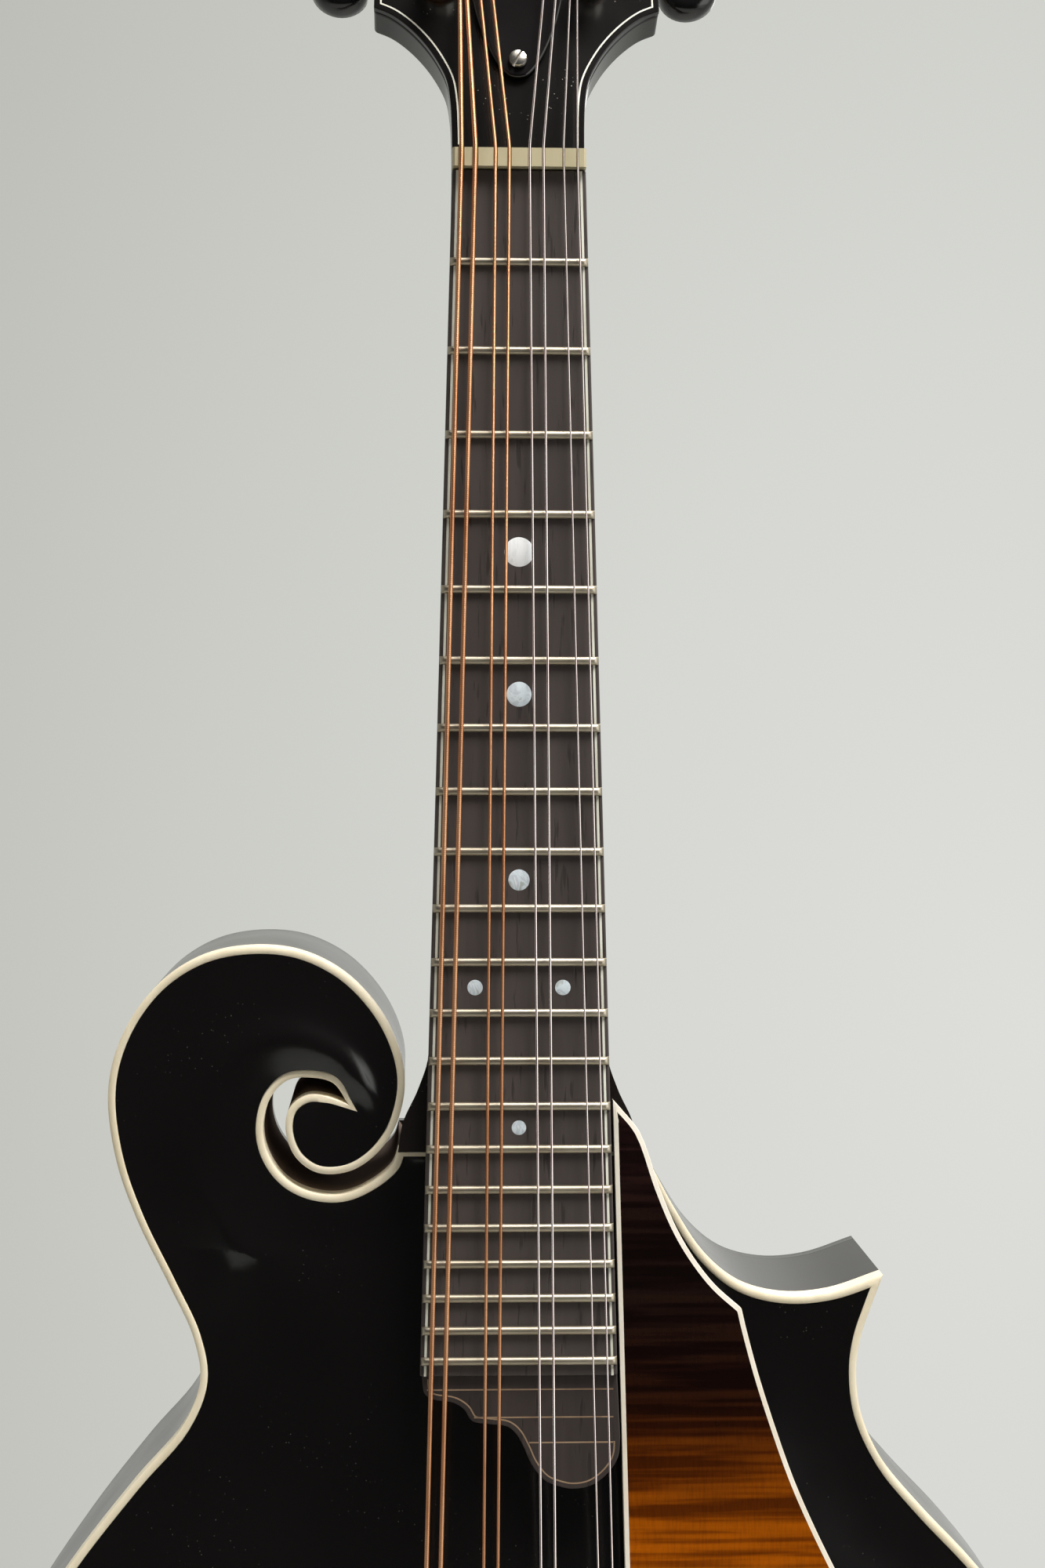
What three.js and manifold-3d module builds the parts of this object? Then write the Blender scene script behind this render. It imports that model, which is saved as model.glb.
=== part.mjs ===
// An f-style mandolin as separate named pieces, in millimetres.
// +Z runs up the neck to the head, the face looks towards -Y and +X is the treble side.
// The origin is on the centre line, where the nut's lower edge meets the neck.
import * as THREE from 'three';
import { mergeVertices } from 'three/addons/utils/BufferGeometryUtils.js';
import Module from 'manifold-3d';

const wasm = await Module();
wasm.setup();

// Clearances
const seatGap = 0.3;            // glued or seated pieces that meet at an angle
const glueLine = 0.1;           // flat glued faces square to the body
const runningGap = 0.25;        // radial room round a turning shaft
const overrun = 3;              // how far a cutting tool passes what it cuts
const bite = 0.4;               // how far two joined shapes of one piece share room

// Scale, neck and fretboard
const scaleLength = 353;
const joinFret = 15;
const fretCount = 21;
const neckAngle = THREE.MathUtils.degToRad(4);
const headPitch = THREE.MathUtils.degToRad(14);
const nutWidth = 28;
const lastFretWidth = 40.6;
const boardThickness = 5;
const boardPastLastFret = 3.5;
const extensionLength = 23;
const extensionThickness = 3.8;
const fretHeight = 1;
const fretWidth = 2.2;
const fretBevel = 0.8;
const neckDepthAtNut = 15.5;
const neckDepthAtHeel = 17.5;
const heelStart = 152;          // below the nut
const heelCapLength = 14;
const tenonWidth = 20;
const tenonLength = 9;
const riserLength = 42;         // the neck's wedge between the top and the fretboard

// Nut
const nutThickness = 3.9;
const nutRise = 1.9;            // above the fretboard's face
const slotSideRoom = 0.2;

// Body
const bodyHalfWidth = 127;
const heelHalfWidth = 0.197 * bodyHalfWidth;
const bodyDrop = 309.5;         // neck edge to tail
const edgePastJoin = 1.4;       // the body's neck edge lies this far past the joining fret
const edgeBelowBoard = 6;       // face edge behind the fretboard's glue line at the join
const topEdge = 5.5;
const ribDepth = 34;
const backEdge = 5;
const ribThickness = 2.3;
const bindingWidth = 1.8;
const liningWidth = 5.5;
const liningDepth = 9;
const topArch = 11;
const backArch = 9.5;
const archReach = 66;
const plateCentre = 4.4;
const plateLand = 10;           // flat glued land inside the edge
const plateCell = 16;
const blockLength = 22;
const headBlockLength = 35;
const tailBlockWidth = 56;
const scrollBlockRadius = 8.5;
const toneBarWidth = 6;
const toneBarHeight = 11;
const toneBarLength = 230;
const toneBarSpread = 46;
const holeLength = 84;
const holeSpread = 102;
const holeStem = 5;
const holeEyeRadius = 4.3;

// Bridge
const bridgeLength = 116;
const bridgeBaseWidth = 10;
const bridgeBaseHeight = 4.6;
const saddleLength = 110;
const saddleWidth = 6;
const saddleTravel = 1.5;
const wheelRadius = 6.5;
const wheelThickness = 1.6;
const studRadius = 1.5;
const studSpread = 74;
const studPastWheel = 2;

// Tailpiece and end pin
const tailWidth = 38;
const hookSpread = 29;
const tailLength = 86;
const tailSheet = 1.2;
const tailLift = 16.5;          // plate above the face edge at its bridge end
const tailFoot = 3.5;           // plate above the face edge at the tail
const tailLegDepth = 32;
const coverHeight = 7.5;
const coverSheet = 1;
const hookHeight = 4;
const hookRadius = 0.9;
const pinRadius = 4.6;
const pinLength = 17;
const pinHeadRadius = 7.5;
const pinInset = 16;

// Pickguard
const guardWidth = 60;
const guardEndAboveBridge = 8.4;
const guardThickness = 2.4;
const guardBelowBoardTop = 2;
const guardSideGap = 0.7;
const guardPastJoin = 10;        // its upper end lies this far above the joining fret
const bracketWidth = 9;
const bracketAcross = 57;
const bracketAboveBridge = 62;

// Head, tuners and strings
const headHalfWidth = 38.5;
const headLength = 166;
const headThickness = 8.4;
const overlayThickness = 1.5;
const rodRadius = 2.5;
const rodDepth = 9.6;
const rodNutRadius = 3;
const rodNutLength = 6;
const rodNutAboveNut = 26.4;
const pocketWidth = 8.2;
const pocketLength = 17;
const pocketDepth = 6.5;
const pocketAboveNut = 26.8;
const coverPlateLength = 40;
const coverPlateWidth = 21;
const coverAboveNut = 21.5;
const coverPlateThickness = 1.8;
const screwRadius = 2;
const screwHeight = 1.1;
const screwShankRadius = 0.9;
const screwShankLength = 3.8;
const firstPost = 46.7;
const postSpacing = 23.06;
const postAcross = 16.3;
const postRadius = 3;
const postRise = 13;
const tunerPlateLength = 88;
const tunerPlateWidth = 17;
const tunerPlateThickness = 1;
const gearTeeth = 15;
const gearPitch = 1.8;          // round the pitch circle, and the worm's lead
const gearWidth = 2.4;
const gearAddendum = 0.5;
const gearDedendum = 0.8;
const wormPitchRadius = 2;
const wormTurns = 2.5;
const wormShaftRadius = 1.25;
const lugLength = 4;
const plateOffset = 1.5;         // a tuner plate's middle outside its posts
const buttonAcross = 33.1;
const buttonRadii = [7, 3.5, 7.2];
const stringSpreadAtNut = 24.2;
const stringSpreadAtBridge = 41;
const pairGap = 2.9;
const stringHeightAtBridge = 2.6;  // undersides above the line of the fret tops
const stringRadii = [0.5, 0.5, 0.33, 0.33, 0.21, 0.21, 0.15, 0.15];
const nutClearance = 0.45;
const woundTurns = 2;
const woundRadialRoom = 0.12;
const woundGap = 0.5;            // between one turn and the next

// Colours, roughness and metalness of each finish
const finishes = {
  blackLacquer: ['#141214', 0.35, 0],
  spruce: ['#d8bd8a', 0.7, 0],
  maple: ['#c9a06a', 0.6, 0],
  cream: ['#e6d9b4', 0.4, 0],
  ebony: ['#1d1a18', 0.5, 0],
  bone: ['#e4dcc4', 0.4, 0],
  nickel: ['#b9b5ad', 0.3, 1],
  steel: ['#a8a9ab', 0.3, 1],
  bronze: ['#b9764a', 0.35, 1],
  brass: ['#b8954f', 0.35, 1],
  blackButton: ['#161514', 0.25, 0],
  guard: ['#7a3d12', 0.3, 0],
};

// Joining and cutting
function toSolid(geometry) {
  const bare = geometry.clone();
  bare.deleteAttribute('normal');
  bare.deleteAttribute('uv');
  const merged = mergeVertices(bare, 1e-5);
  return new wasm.Manifold(new wasm.Mesh({
    numProp: 3,
    vertProperties: new Float32Array(merged.attributes.position.array),
    triVerts: new Uint32Array(merged.index.array),
  }));
}

function toGeometry(solid) {
  const mesh = solid.getMesh();
  const geometry = new THREE.BufferGeometry();
  const positions = new Float32Array(mesh.vertProperties);
  geometry.setAttribute('position', new THREE.BufferAttribute(positions, 3));
  geometry.setIndex(new THREE.BufferAttribute(new Uint32Array(mesh.triVerts), 1));
  return geometry;
}

function joined(...geometries) {
  return toGeometry(geometries.map(toSolid).reduce((sum, next) => sum.add(next)));
}

function cut(geometry, ...tools) {
  return toGeometry(tools.map(toSolid).reduce((rest, tool) => rest.subtract(tool), toSolid(geometry)));
}

function shared(first, second) {
  return toGeometry(toSolid(first).intersect(toSolid(second)));
}

// Places in the neck's and the head's own frames, given in the body's frame
const neckFrame = new THREE.Matrix4().makeRotationX(-neckAngle);
const headFrame = new THREE.Matrix4().makeRotationX(-neckAngle - headPitch);
const onNeck = (x, y, z) => new THREE.Vector3(x, y, z).applyMatrix4(neckFrame);
const onHead = (x, y, z) => new THREE.Vector3(x, y, z).applyMatrix4(headFrame);

function fretDistance(fret) {
  return scaleLength * (1 - 2 ** (-fret / 12));
}

// A flat outline in X and Z, given depth along Y
function prism(points, front, back) {
  const outline = new THREE.Shape(points.map((point) => new THREE.Vector2(point.x, point.y)));
  const geometry = new THREE.ExtrudeGeometry(outline, { depth: back - front, bevelEnabled: false });
  return geometry.rotateX(Math.PI / 2).translate(0, back, 0);
}

function block(left, right, front, back, low, high) {
  const geometry = new THREE.BoxGeometry(right - left, back - front, high - low);
  return geometry.translate((left + right) / 2, (front + back) / 2, (low + high) / 2);
}

// A profile in Z and Y, given width along X about the middle
const acrossAxes = new THREE.Matrix4().makeBasis(
  new THREE.Vector3(0, 0, 1), new THREE.Vector3(0, 1, 0), new THREE.Vector3(-1, 0, 0));

function profileAcross(points, width) {
  const geometry = new THREE.ExtrudeGeometry(new THREE.Shape(points), { depth: width, bevelEnabled: false });
  return geometry.applyMatrix4(acrossAxes).translate(width / 2, 0, 0);
}

// A profile in X and Y, given length along Z about a level
function profileAlong(points, length, z) {
  const geometry = new THREE.ExtrudeGeometry(new THREE.Shape(points), { depth: length, bevelEnabled: false });
  return geometry.translate(0, 0, z - length / 2);
}

// A round bar along Y, from front to back
function pinAlongY(radius, front, back, x, z, sides) {
  const geometry = new THREE.CylinderGeometry(radius, radius, back - front, sides);
  return geometry.translate(x, (front + back) / 2, z);
}

function pinAlongX(radius, left, right, y, z, sides) {
  const geometry = new THREE.CylinderGeometry(radius, radius, right - left, sides);
  return geometry.rotateZ(Math.PI / 2).translate((left + right) / 2, y, z);
}

function pinAlongZ(radius, low, high, x, y, sides) {
  const geometry = new THREE.CylinderGeometry(radius, radius, high - low, sides);
  return geometry.rotateX(Math.PI / 2).translate(x, y, (low + high) / 2);
}

// A closed skin through rings of points that have the same count
function loft(rings) {
  const count = rings[0].length;
  const positions = rings.flatMap((ring) => ring.flatMap((point) => [point.x, point.y, point.z]));
  const index = [];
  for (let row = 0; row < rings.length - 1; row++) {
    for (let side = 0; side < count; side++) {
      const a = row * count + side;
      const b = row * count + (side + 1) % count;
      index.push(a, b, b + count, a, b + count, a + count);
    }
  }
  const last = (rings.length - 1) * count;
  for (let side = 1; side < count - 1; side++) {
    index.push(0, side + 1, side, last, last + side, last + side + 1);
  }
  const geometry = new THREE.BufferGeometry();
  geometry.setAttribute('position', new THREE.Float32BufferAttribute(positions, 3));
  geometry.setIndex(index);
  return geometry;
}

// A round rod along a list of points, turned as little as it can be on the way
function rodAlong(points, radius, sides) {
  const rings = [];
  const normal = new THREE.Vector3(1, 0, 0);
  points.forEach((point, step) => {
    const before = points[Math.max(step - 1, 0)];
    const after = points[Math.min(step + 1, points.length - 1)];
    const tangent = after.clone().sub(before).normalize();
    normal.addScaledVector(tangent, -normal.dot(tangent)).normalize();
    const side = new THREE.Vector3().crossVectors(tangent, normal);
    const ring = [];
    for (let corner = 0; corner < sides; corner++) {
      const angle = 2 * Math.PI * corner / sides;
      ring.push(point.clone()
        .addScaledVector(normal, radius * Math.cos(angle))
        .addScaledVector(side, radius * Math.sin(angle)));
    }
    rings.push(ring);
  });
  return loft(rings);
}

// A smooth line through pairs of shares, read at a share
function readTable(table, at) {
  if (at <= table[0][0]) return table[0][1];
  const last = table.length - 1;
  if (at >= table[last][0]) return table[last][1];
  const right = table.findIndex((row) => row[0] > at);
  const left = right - 1;
  const slope = (row) => {
    const before = table[Math.max(row - 1, 0)];
    const after = table[Math.min(row + 1, last)];
    return (after[1] - before[1]) / (after[0] - before[0]);
  };
  const width = table[right][0] - table[left][0];
  const t = (at - table[left][0]) / width;
  const rise = table[right][1] - table[left][1];
  const bend = slope(left) * width - rise;
  const unbend = rise - slope(right) * width;
  return table[left][1] + rise * t + t * (1 - t) * (bend * (1 - t) + unbend * t);
}

const meshes = new THREE.Group();
const neckGroup = new THREE.Group();
neckGroup.rotation.x = -neckAngle;
const headGroup = new THREE.Group();
headGroup.rotation.x = -headPitch;
neckGroup.add(headGroup);
meshes.add(neckGroup);

function piece(name, finish, geometry, parent = meshes) {
  const [color, roughness, metalness] = finishes[finish];
  const mesh = new THREE.Mesh(geometry, new THREE.MeshStandardMaterial({ color, roughness, metalness }));
  mesh.name = name;
  parent.add(mesh);
  return mesh;
}

// Levels worked out from the sizes
const neckEdgeZ = -fretDistance(joinFret) * Math.cos(neckAngle) - edgePastJoin;
const tailZ = neckEdgeZ - bodyDrop;
const faceY = -fretDistance(joinFret) * Math.sin(neckAngle) + edgeBelowBoard;
const ribFrontY = faceY + topEdge;
const ribBackY = ribFrontY + ribDepth;
const backY = ribBackY + backEdge;
const innerFrontY = ribFrontY + glueLine;
const innerBackY = ribBackY - glueLine;

// The body's outline, as shares of its half width and of its drop from neck edge to tail.
// The bass side runs from the tail up round the scroll and into its eye.
const bassShares = [
  [0, 1], [-0.268, 0.990], [-0.504, 0.961], [-0.693, 0.913], [-0.835, 0.848],
  [-0.937, 0.767], [-0.988, 0.687], [-1, 0.612], [-0.980, 0.519], [-0.929, 0.431],
  [-0.858, 0.359], [-0.742, 0.285], [-0.634, 0.228], [-0.553, 0.189], [-0.524, 0.158],
  [-0.535, 0.128], [-0.575, 0.092], [-0.627, 0.048], [-0.661, 0.008], [-0.675, -0.034],
  [-0.665, -0.063], [-0.633, -0.092], [-0.583, -0.116], [-0.517, -0.132], [-0.441, -0.138],
  [-0.362, -0.135], [-0.287, -0.120], [-0.227, -0.094], [-0.194, -0.066], [-0.186, -0.042],
  [-0.201, -0.016], [-0.232, 0.003], [-0.277, 0.015], [-0.330, 0.016], [-0.367, 0.005],
  [-0.383, -0.014], [-0.375, -0.029], [-0.346, -0.037], [-0.313, -0.036], [-0.283, -0.030],
];
// The other wall of the scroll's channel, from its blind end out to the neck.
const channelShares = [
  [-0.279, -0.036], [-0.304, -0.045], [-0.343, -0.049], [-0.380, -0.047], [-0.408, -0.035],
  [-0.420, -0.014], [-0.411, 0.004], [-0.383, 0.020], [-0.343, 0.029], [-0.291, 0.031],
  [-0.246, 0.024], [-0.207, 0.011], [-0.197, 0],
];
const cutawayShares = [
  [0.207, 0], [0.228, 0.015], [0.265, 0.043], [0.315, 0.074], [0.374, 0.094],
  [0.446, 0.102], [0.524, 0.100], [0.613, 0.088],
];
const trebleShares = [
  [0.613, 0.088], [0.593, 0.110], [0.576, 0.131], [0.569, 0.153], [0.578, 0.184],
  [0.617, 0.218], [0.681, 0.250], [0.775, 0.291], [0.854, 0.333], [0.921, 0.389],
  [0.969, 0.457], [0.995, 0.535], [1, 0.612], [0.988, 0.687], [0.937, 0.767],
  [0.835, 0.848], [0.693, 0.913], [0.504, 0.961], [0.268, 0.990], [0, 1],
];
const stepsBetweenShares = 2;

function outlineCurve(shares) {
  const points = shares.map(([across, down]) =>
    new THREE.Vector3(across * bodyHalfWidth, neckEdgeZ - down * bodyDrop, 0));
  const curve = new THREE.CatmullRomCurve3(points, false, 'centripetal');
  const steps = stepsBetweenShares * (shares.length - 1);
  return curve.getPoints(steps).map((point) => new THREE.Vector2(point.x, point.y));
}

// Each curve ends where the next starts, except across the channel's blind end and the neck edge.
const bassCurve = outlineCurve(bassShares);
const channelCurve = outlineCurve(channelShares);
const cutawayCurve = outlineCurve(cutawayShares);
const trebleCurve = outlineCurve(trebleShares).slice(1, -1);
const outline = [...bassCurve, ...channelCurve, ...cutawayCurve, ...trebleCurve];
const bassEnd = bassCurve.length - 1;
const channelEnd = bassEnd + channelCurve.length;
const cutawayStart = channelEnd + 1;
const cutawayEnd = channelEnd + cutawayCurve.length;
const sharpestMitre = 2;
const foldedShare = 0.97;

// How far a place lies inside the outline, zero outside it
function depthInside(x, z) {
  let nearest = Infinity;
  let inside = false;
  outline.forEach((start, at) => {
    const end = outline[(at + 1) % outline.length];
    const run = end.clone().sub(start);
    const reach = new THREE.Vector2(x, z).sub(start);
    const along = THREE.MathUtils.clamp(reach.dot(run) / run.lengthSq(), 0, 1);
    nearest = Math.min(nearest, reach.addScaledVector(run, -along).length());
    const crosses = (start.y > z) !== (end.y > z);
    if (crosses && x < start.x + run.x * (z - start.y) / run.y) inside = !inside;
  });
  return inside ? nearest : 0;
}

// A stretch of the outline moved inwards, without the points that a sharp corner folds over.
// The outline runs clockwise, so its inside is on the right.
function insetStretch(first, last, distance) {
  const points = [];
  for (let at = first; at <= last; at++) {
    const point = outline[at % outline.length];
    const before = outline[(at + outline.length - 1) % outline.length];
    const after = outline[(at + 1) % outline.length];
    const into = point.clone().sub(before).normalize();
    const out = after.clone().sub(point).normalize();
    const normal = new THREE.Vector2(into.y + out.y, -into.x - out.x).normalize();
    const stretch = 1 / Math.max(normal.x * into.y - normal.y * into.x, 1 / sharpestMitre);
    const moved = point.clone().addScaledVector(normal, distance * stretch);
    if (distance === 0 || depthInside(moved.x, moved.y) > foldedShare * distance) points.push(moved);
  }
  return points;
}
const inset = (distance) => insetStretch(0, outline.length - 1, distance);

// The arch by distance from the edge, with the hollow just inside it, and along the body
const archProfileShares = [
  [0, 0], [0.07, -0.05], [0.16, 0.05], [0.26, 0.26], [0.45, 0.58], [0.7, 0.88], [1, 1],
];
const archAlongShares = [[-0.14, 0.75], [0, 0.6], [0.15, 0.68], [0.3, 0.9], [0.47, 1], [1, 1]];

function archShare(x, z) {
  const along = (neckEdgeZ - z) / bodyDrop;
  return readTable(archProfileShares, depthInside(x, z) / archReach) * readTable(archAlongShares, along);
}

function plateThickness(x, z, edge) {
  const blend = THREE.MathUtils.smoothstep(depthInside(x, z), plateLand, 2 * plateLand);
  return THREE.MathUtils.lerp(edge, plateCentre, blend);
}

const topFront = (x, z) => faceY - topArch * archShare(x, z);
const topBack = (x, z) =>
  Math.min(topFront(x, z) + plateThickness(x, z, topEdge), ribFrontY) - glueLine;
const backBack = (x, z) => backY + backArch * archShare(x, z);
const backFront = (x, z) =>
  Math.max(backBack(x, z) - plateThickness(x, z, backEdge), ribBackY) + glueLine;

// A slab over the whole body between two height fields, on one grid for all
const scrollTopZ = Math.max(...outline.map((point) => point.y));
const columns = Math.ceil(2 * (bodyHalfWidth + overrun) / plateCell);
const rows = Math.ceil((scrollTopZ - tailZ + 2 * overrun) / plateCell);

function slab(front, back) {
  const positions = [];
  for (const height of [front, back]) {
    for (let row = 0; row <= rows; row++) {
      for (let column = 0; column <= columns; column++) {
        const x = (column - columns / 2) * plateCell;
        const z = tailZ - overrun + row * plateCell;
        positions.push(x, height(x, z), z);
      }
    }
  }
  const width = columns + 1;
  const backStart = width * (rows + 1);
  const index = [];
  const quad = (a, b, c, d) => index.push(a, b, c, a, c, d);
  for (let row = 0; row < rows; row++) {
    for (let column = 0; column < columns; column++) {
      const at = row * width + column;
      quad(at, at + 1, at + 1 + width, at + width);
      quad(backStart + at, backStart + at + width, backStart + at + 1 + width, backStart + at + 1);
    }
  }
  for (let column = 0; column < columns; column++) {
    const high = rows * width + column;
    quad(column, backStart + column, backStart + column + 1, column + 1);
    quad(high, high + 1, backStart + high + 1, backStart + high);
  }
  for (let row = 0; row < rows; row++) {
    const left = row * width;
    const right = left + columns;
    quad(left, left + width, backStart + left + width, backStart + left);
    quad(right, backStart + right, backStart + right + width, right + width);
  }
  const geometry = new THREE.BufferGeometry();
  geometry.setAttribute('position', new THREE.Float32BufferAttribute(positions, 3));
  geometry.setIndex(index);
  return geometry;
}

// Sound holes: half of the spine from the middle to the lower eye, as shares of the hole's half length
const holeSpineShares = [[0, 0], [0.05, 0.28], [0.11, 0.58], [0.17, 0.82], [0.29, 0.97], [0.42, 0.93]];
const holeWidthShares = [1, 0.92, 0.8, 0.66, 0.5, 0.36];
const holeEyeShares = [0.37, 0.78];
const eyeSides = 14;
const bridgeZ = onNeck(0, 0, -scaleLength).z;

function soundHole(side) {
  const half = holeLength / 2;
  const upper = holeSpineShares.slice(1).reverse().map(([x, z]) => new THREE.Vector2(-x * half, z * half));
  const lower = holeSpineShares.map(([x, z]) => new THREE.Vector2(x * half, -z * half));
  const spine = [...upper, ...lower];
  const widths = [...holeWidthShares.slice(1).reverse(), ...holeWidthShares];
  const normals = spine.map((point, at) => {
    const run = spine[Math.min(at + 1, spine.length - 1)].clone().sub(spine[Math.max(at - 1, 0)]).normalize();
    return new THREE.Vector2(-run.y, run.x).multiplyScalar(widths[at] * holeStem / 2);
  });
  const left = spine.map((point, at) => point.clone().add(normals[at]));
  const right = spine.map((point, at) => point.clone().sub(normals[at])).reverse();
  const place = (point) => new THREE.Vector2(side * (holeSpread / 2 + point.x), bridgeZ + point.y);
  const front = faceY - topArch - overrun;
  const [eyeX, eyeZ] = holeEyeShares.map((share) => share * half);
  const tools = [prism([...left, ...right].map(place), front, ribFrontY + overrun)];
  for (const end of [-1, 1]) {
    const eye = place(new THREE.Vector2(end * eyeX, -end * eyeZ));
    tools.push(pinAlongY(holeEyeRadius, front, ribFrontY + overrun, eye.x, eye.y, eyeSides));
  }
  return joined(...tools);
}

// Plates, with the binding ring round the top
const topBlank = prism(inset(bindingWidth + glueLine), faceY - topArch - overrun, ribFrontY + overrun);
const topPlate = cut(shared(slab(topFront, topBack), topBlank), soundHole(-1), soundHole(1));
piece('top_plate', 'blackLacquer', topPlate);
const bindingHole = prism(inset(bindingWidth), faceY - overrun, ribFrontY + overrun);
piece('top_binding', 'cream', cut(prism(outline, faceY, ribFrontY), bindingHole));

// The back's button under the heel, as shares of the heel's half width and of the button's length
const heelCapShares = [[-0.5, 0], [-0.4, 0.8], [-0.2, 1], [0.2, 1], [0.4, 0.8], [0.5, 0]];
const heelCapStart = neckEdgeZ - ribThickness;
const buttonPoints = heelCapShares.map(([across, up]) => new THREE.Vector2(across * heelHalfWidth,
  THREE.MathUtils.lerp(heelCapStart, neckEdgeZ + heelCapLength, up)));
const backBlank = prism(outline, ribBackY - overrun, backY + backArch + overrun);
const backButton = prism(buttonPoints, ribBackY + glueLine, backY);
piece('back_plate', 'blackLacquer', joined(shared(slab(backFront, backBack), backBlank), backButton));

// Sides: strips of the outline's inner offsets, each with its linings
function strip(first, last, outer, inner, front, back) {
  const inside = insetStretch(first, last, inner).reverse();
  return prism([...insetStretch(first, last, outer), ...inside], front, back);
}

function rib(first, last, liningFirst, liningLast) {
  const parts = [strip(first, last, 0, ribThickness, ribFrontY, ribBackY)];
  if (liningLast > liningFirst) {
    const inner = ribThickness + liningWidth;
    const outer = ribThickness - bite;
    const start = first + Math.round(liningFirst * (last - first));
    const end = first + Math.round(liningLast * (last - first));
    parts.push(strip(start, end, outer, inner, ribFrontY, ribFrontY + liningDepth));
    parts.push(strip(start, end, outer, inner, ribBackY - liningDepth, ribBackY));
  }
  return joined(...parts);
}

// The end pin's bore runs through both sides where they meet and into the tail block.
const pinMiddleY = (ribFrontY + ribBackY) / 2;
const pinSides = 16;
const pinBore = pinAlongZ(pinRadius + glueLine, tailZ - overrun, tailZ + pinInset, 0, pinMiddleY, pinSides);

const bassLiningShares = [0.08, 0.6];
const trebleLiningShares = [0.3, 0.88];
piece('rib_bass', 'blackLacquer', cut(rib(0, bassEnd, ...bassLiningShares), pinBore));
piece('rib_channel', 'blackLacquer', rib(bassEnd, channelEnd, 0, 0));
piece('rib_cutaway', 'blackLacquer', rib(cutawayStart, cutawayEnd, 0, 0));
piece('rib_treble', 'blackLacquer', cut(rib(cutawayEnd, outline.length, ...trebleLiningShares), pinBore));

// Blocks inside the sides
const insideRibs = prism(inset(ribThickness + seatGap), innerFrontY, innerBackY);
const blockFront = innerFrontY - overrun;
const blockBack = innerBackY + overrun;
const mortiseHalf = tenonWidth / 2 + seatGap;
const headBlockHalf = heelHalfWidth - 2 * ribThickness;
const [headBlockLeftShare, headBlockRightShare, headBlockStepShare] = [-1.8, 1.6, 0.35];
const headBlockStep = neckEdgeZ - headBlockStepShare * headBlockLength;
const headBlockBlank = block(headBlockLeftShare * headBlockHalf, headBlockRightShare * headBlockHalf,
  blockFront, blockBack, neckEdgeZ - headBlockLength, headBlockStep);
const headBlockBody = shared(headBlockBlank, insideRibs);
const headBlockNose = block(-headBlockHalf, headBlockHalf, innerFrontY, innerBackY,
  headBlockStep - bite, neckEdgeZ);
const mortise = block(-mortiseHalf, mortiseHalf, blockFront, blockBack,
  neckEdgeZ - tenonLength - seatGap, neckEdgeZ + overrun);
piece('head_block', 'maple', cut(joined(headBlockBody, headBlockNose), mortise));

const tailBlockBlank = block(-tailBlockWidth / 2, tailBlockWidth / 2, blockFront, blockBack,
  tailZ - overrun, tailZ + blockLength);
piece('tail_block', 'maple', cut(shared(tailBlockBlank, insideRibs), pinBore));

const pointBlockShare = 0.8;
const pointTip = cutawayCurve[cutawayCurve.length - 1];
const pointBlock = block(pointTip.x - blockLength, pointTip.x + overrun, blockFront, blockBack,
  pointTip.y - pointBlockShare * blockLength, pointTip.y + overrun);
piece('point_block', 'maple', shared(pointBlock, insideRibs));

const eyeShares = [-0.287, -0.012];
const eyeCentre = new THREE.Vector2(eyeShares[0] * bodyHalfWidth, neckEdgeZ - eyeShares[1] * bodyDrop);
const eyeBlockSides = 20;
const eyeBlock = pinAlongY(scrollBlockRadius, innerFrontY, innerBackY, eyeCentre.x, eyeCentre.y,
  eyeBlockSides);
piece('scroll_block', 'maple', shared(eyeBlock, insideRibs));

// Tone bars, fitted to the inside of the arch
const insideTop = slab(() => faceY - topArch - 2 * overrun, (x, z) => topBack(x, z) + seatGap);
const toneBarShares = [[0, 0.25], [0.2, 1], [0.8, 1], [1, 0.25]];
const [toneBarAboveShare, toneBarArchShare] = [0.45, 0.35];

function toneBar(side) {
  const high = bridgeZ + toneBarLength * toneBarAboveShare;
  const low = high - toneBarLength;
  const deep = toneBarShares.map(([along, depth]) =>
    new THREE.Vector2(high - along * toneBarLength, faceY + (depth - toneBarArchShare) * toneBarHeight));
  const shallow = faceY - topArch - overrun;
  const profile = [new THREE.Vector2(high, shallow), ...deep, new THREE.Vector2(low, shallow)];
  return cut(profileAcross(profile, toneBarWidth).translate(side * toneBarSpread / 2, 0, 0), insideTop);
}
piece('tone_bar_bass', 'spruce', toneBar(-1));
piece('tone_bar_treble', 'spruce', toneBar(1));

// Neck: sections square to the body from the nut's ledge down to the heel's end
const boardSlope = (lastFretWidth - nutWidth) / 2 / fretDistance(fretCount);
const boardHalf = (distance) => nutWidth / 2 + boardSlope * distance;
const gluePlaneY = (z) => z * Math.tan(neckAngle) + seatGap;
const sectionLevelShares = [0, 0.2, 0.45, 0.7, 0.87, 0.97, 1];
const heelRoundness = 1.6;
const heelFootShare = 0.5;
const narrowestShare = 0.2;

function neckSection(z, halfWidth, backDepth, boxed, front = gluePlaneY(z)) {
  const halfAt = (level) => {
    const round = Math.max(Math.sqrt(Math.max(1 - level * level, 0)), narrowestShare);
    const heel = 1 - (1 - heelFootShare) * level ** heelRoundness;
    return halfWidth * THREE.MathUtils.lerp(round, heel, boxed);
  };
  const right = sectionLevelShares.map((level) =>
    new THREE.Vector3(halfAt(level), THREE.MathUtils.lerp(front, backDepth, level), z));
  const left = right.map((point) => new THREE.Vector3(-point.x, point.y, z)).reverse();
  return [...right, ...left];
}

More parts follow.
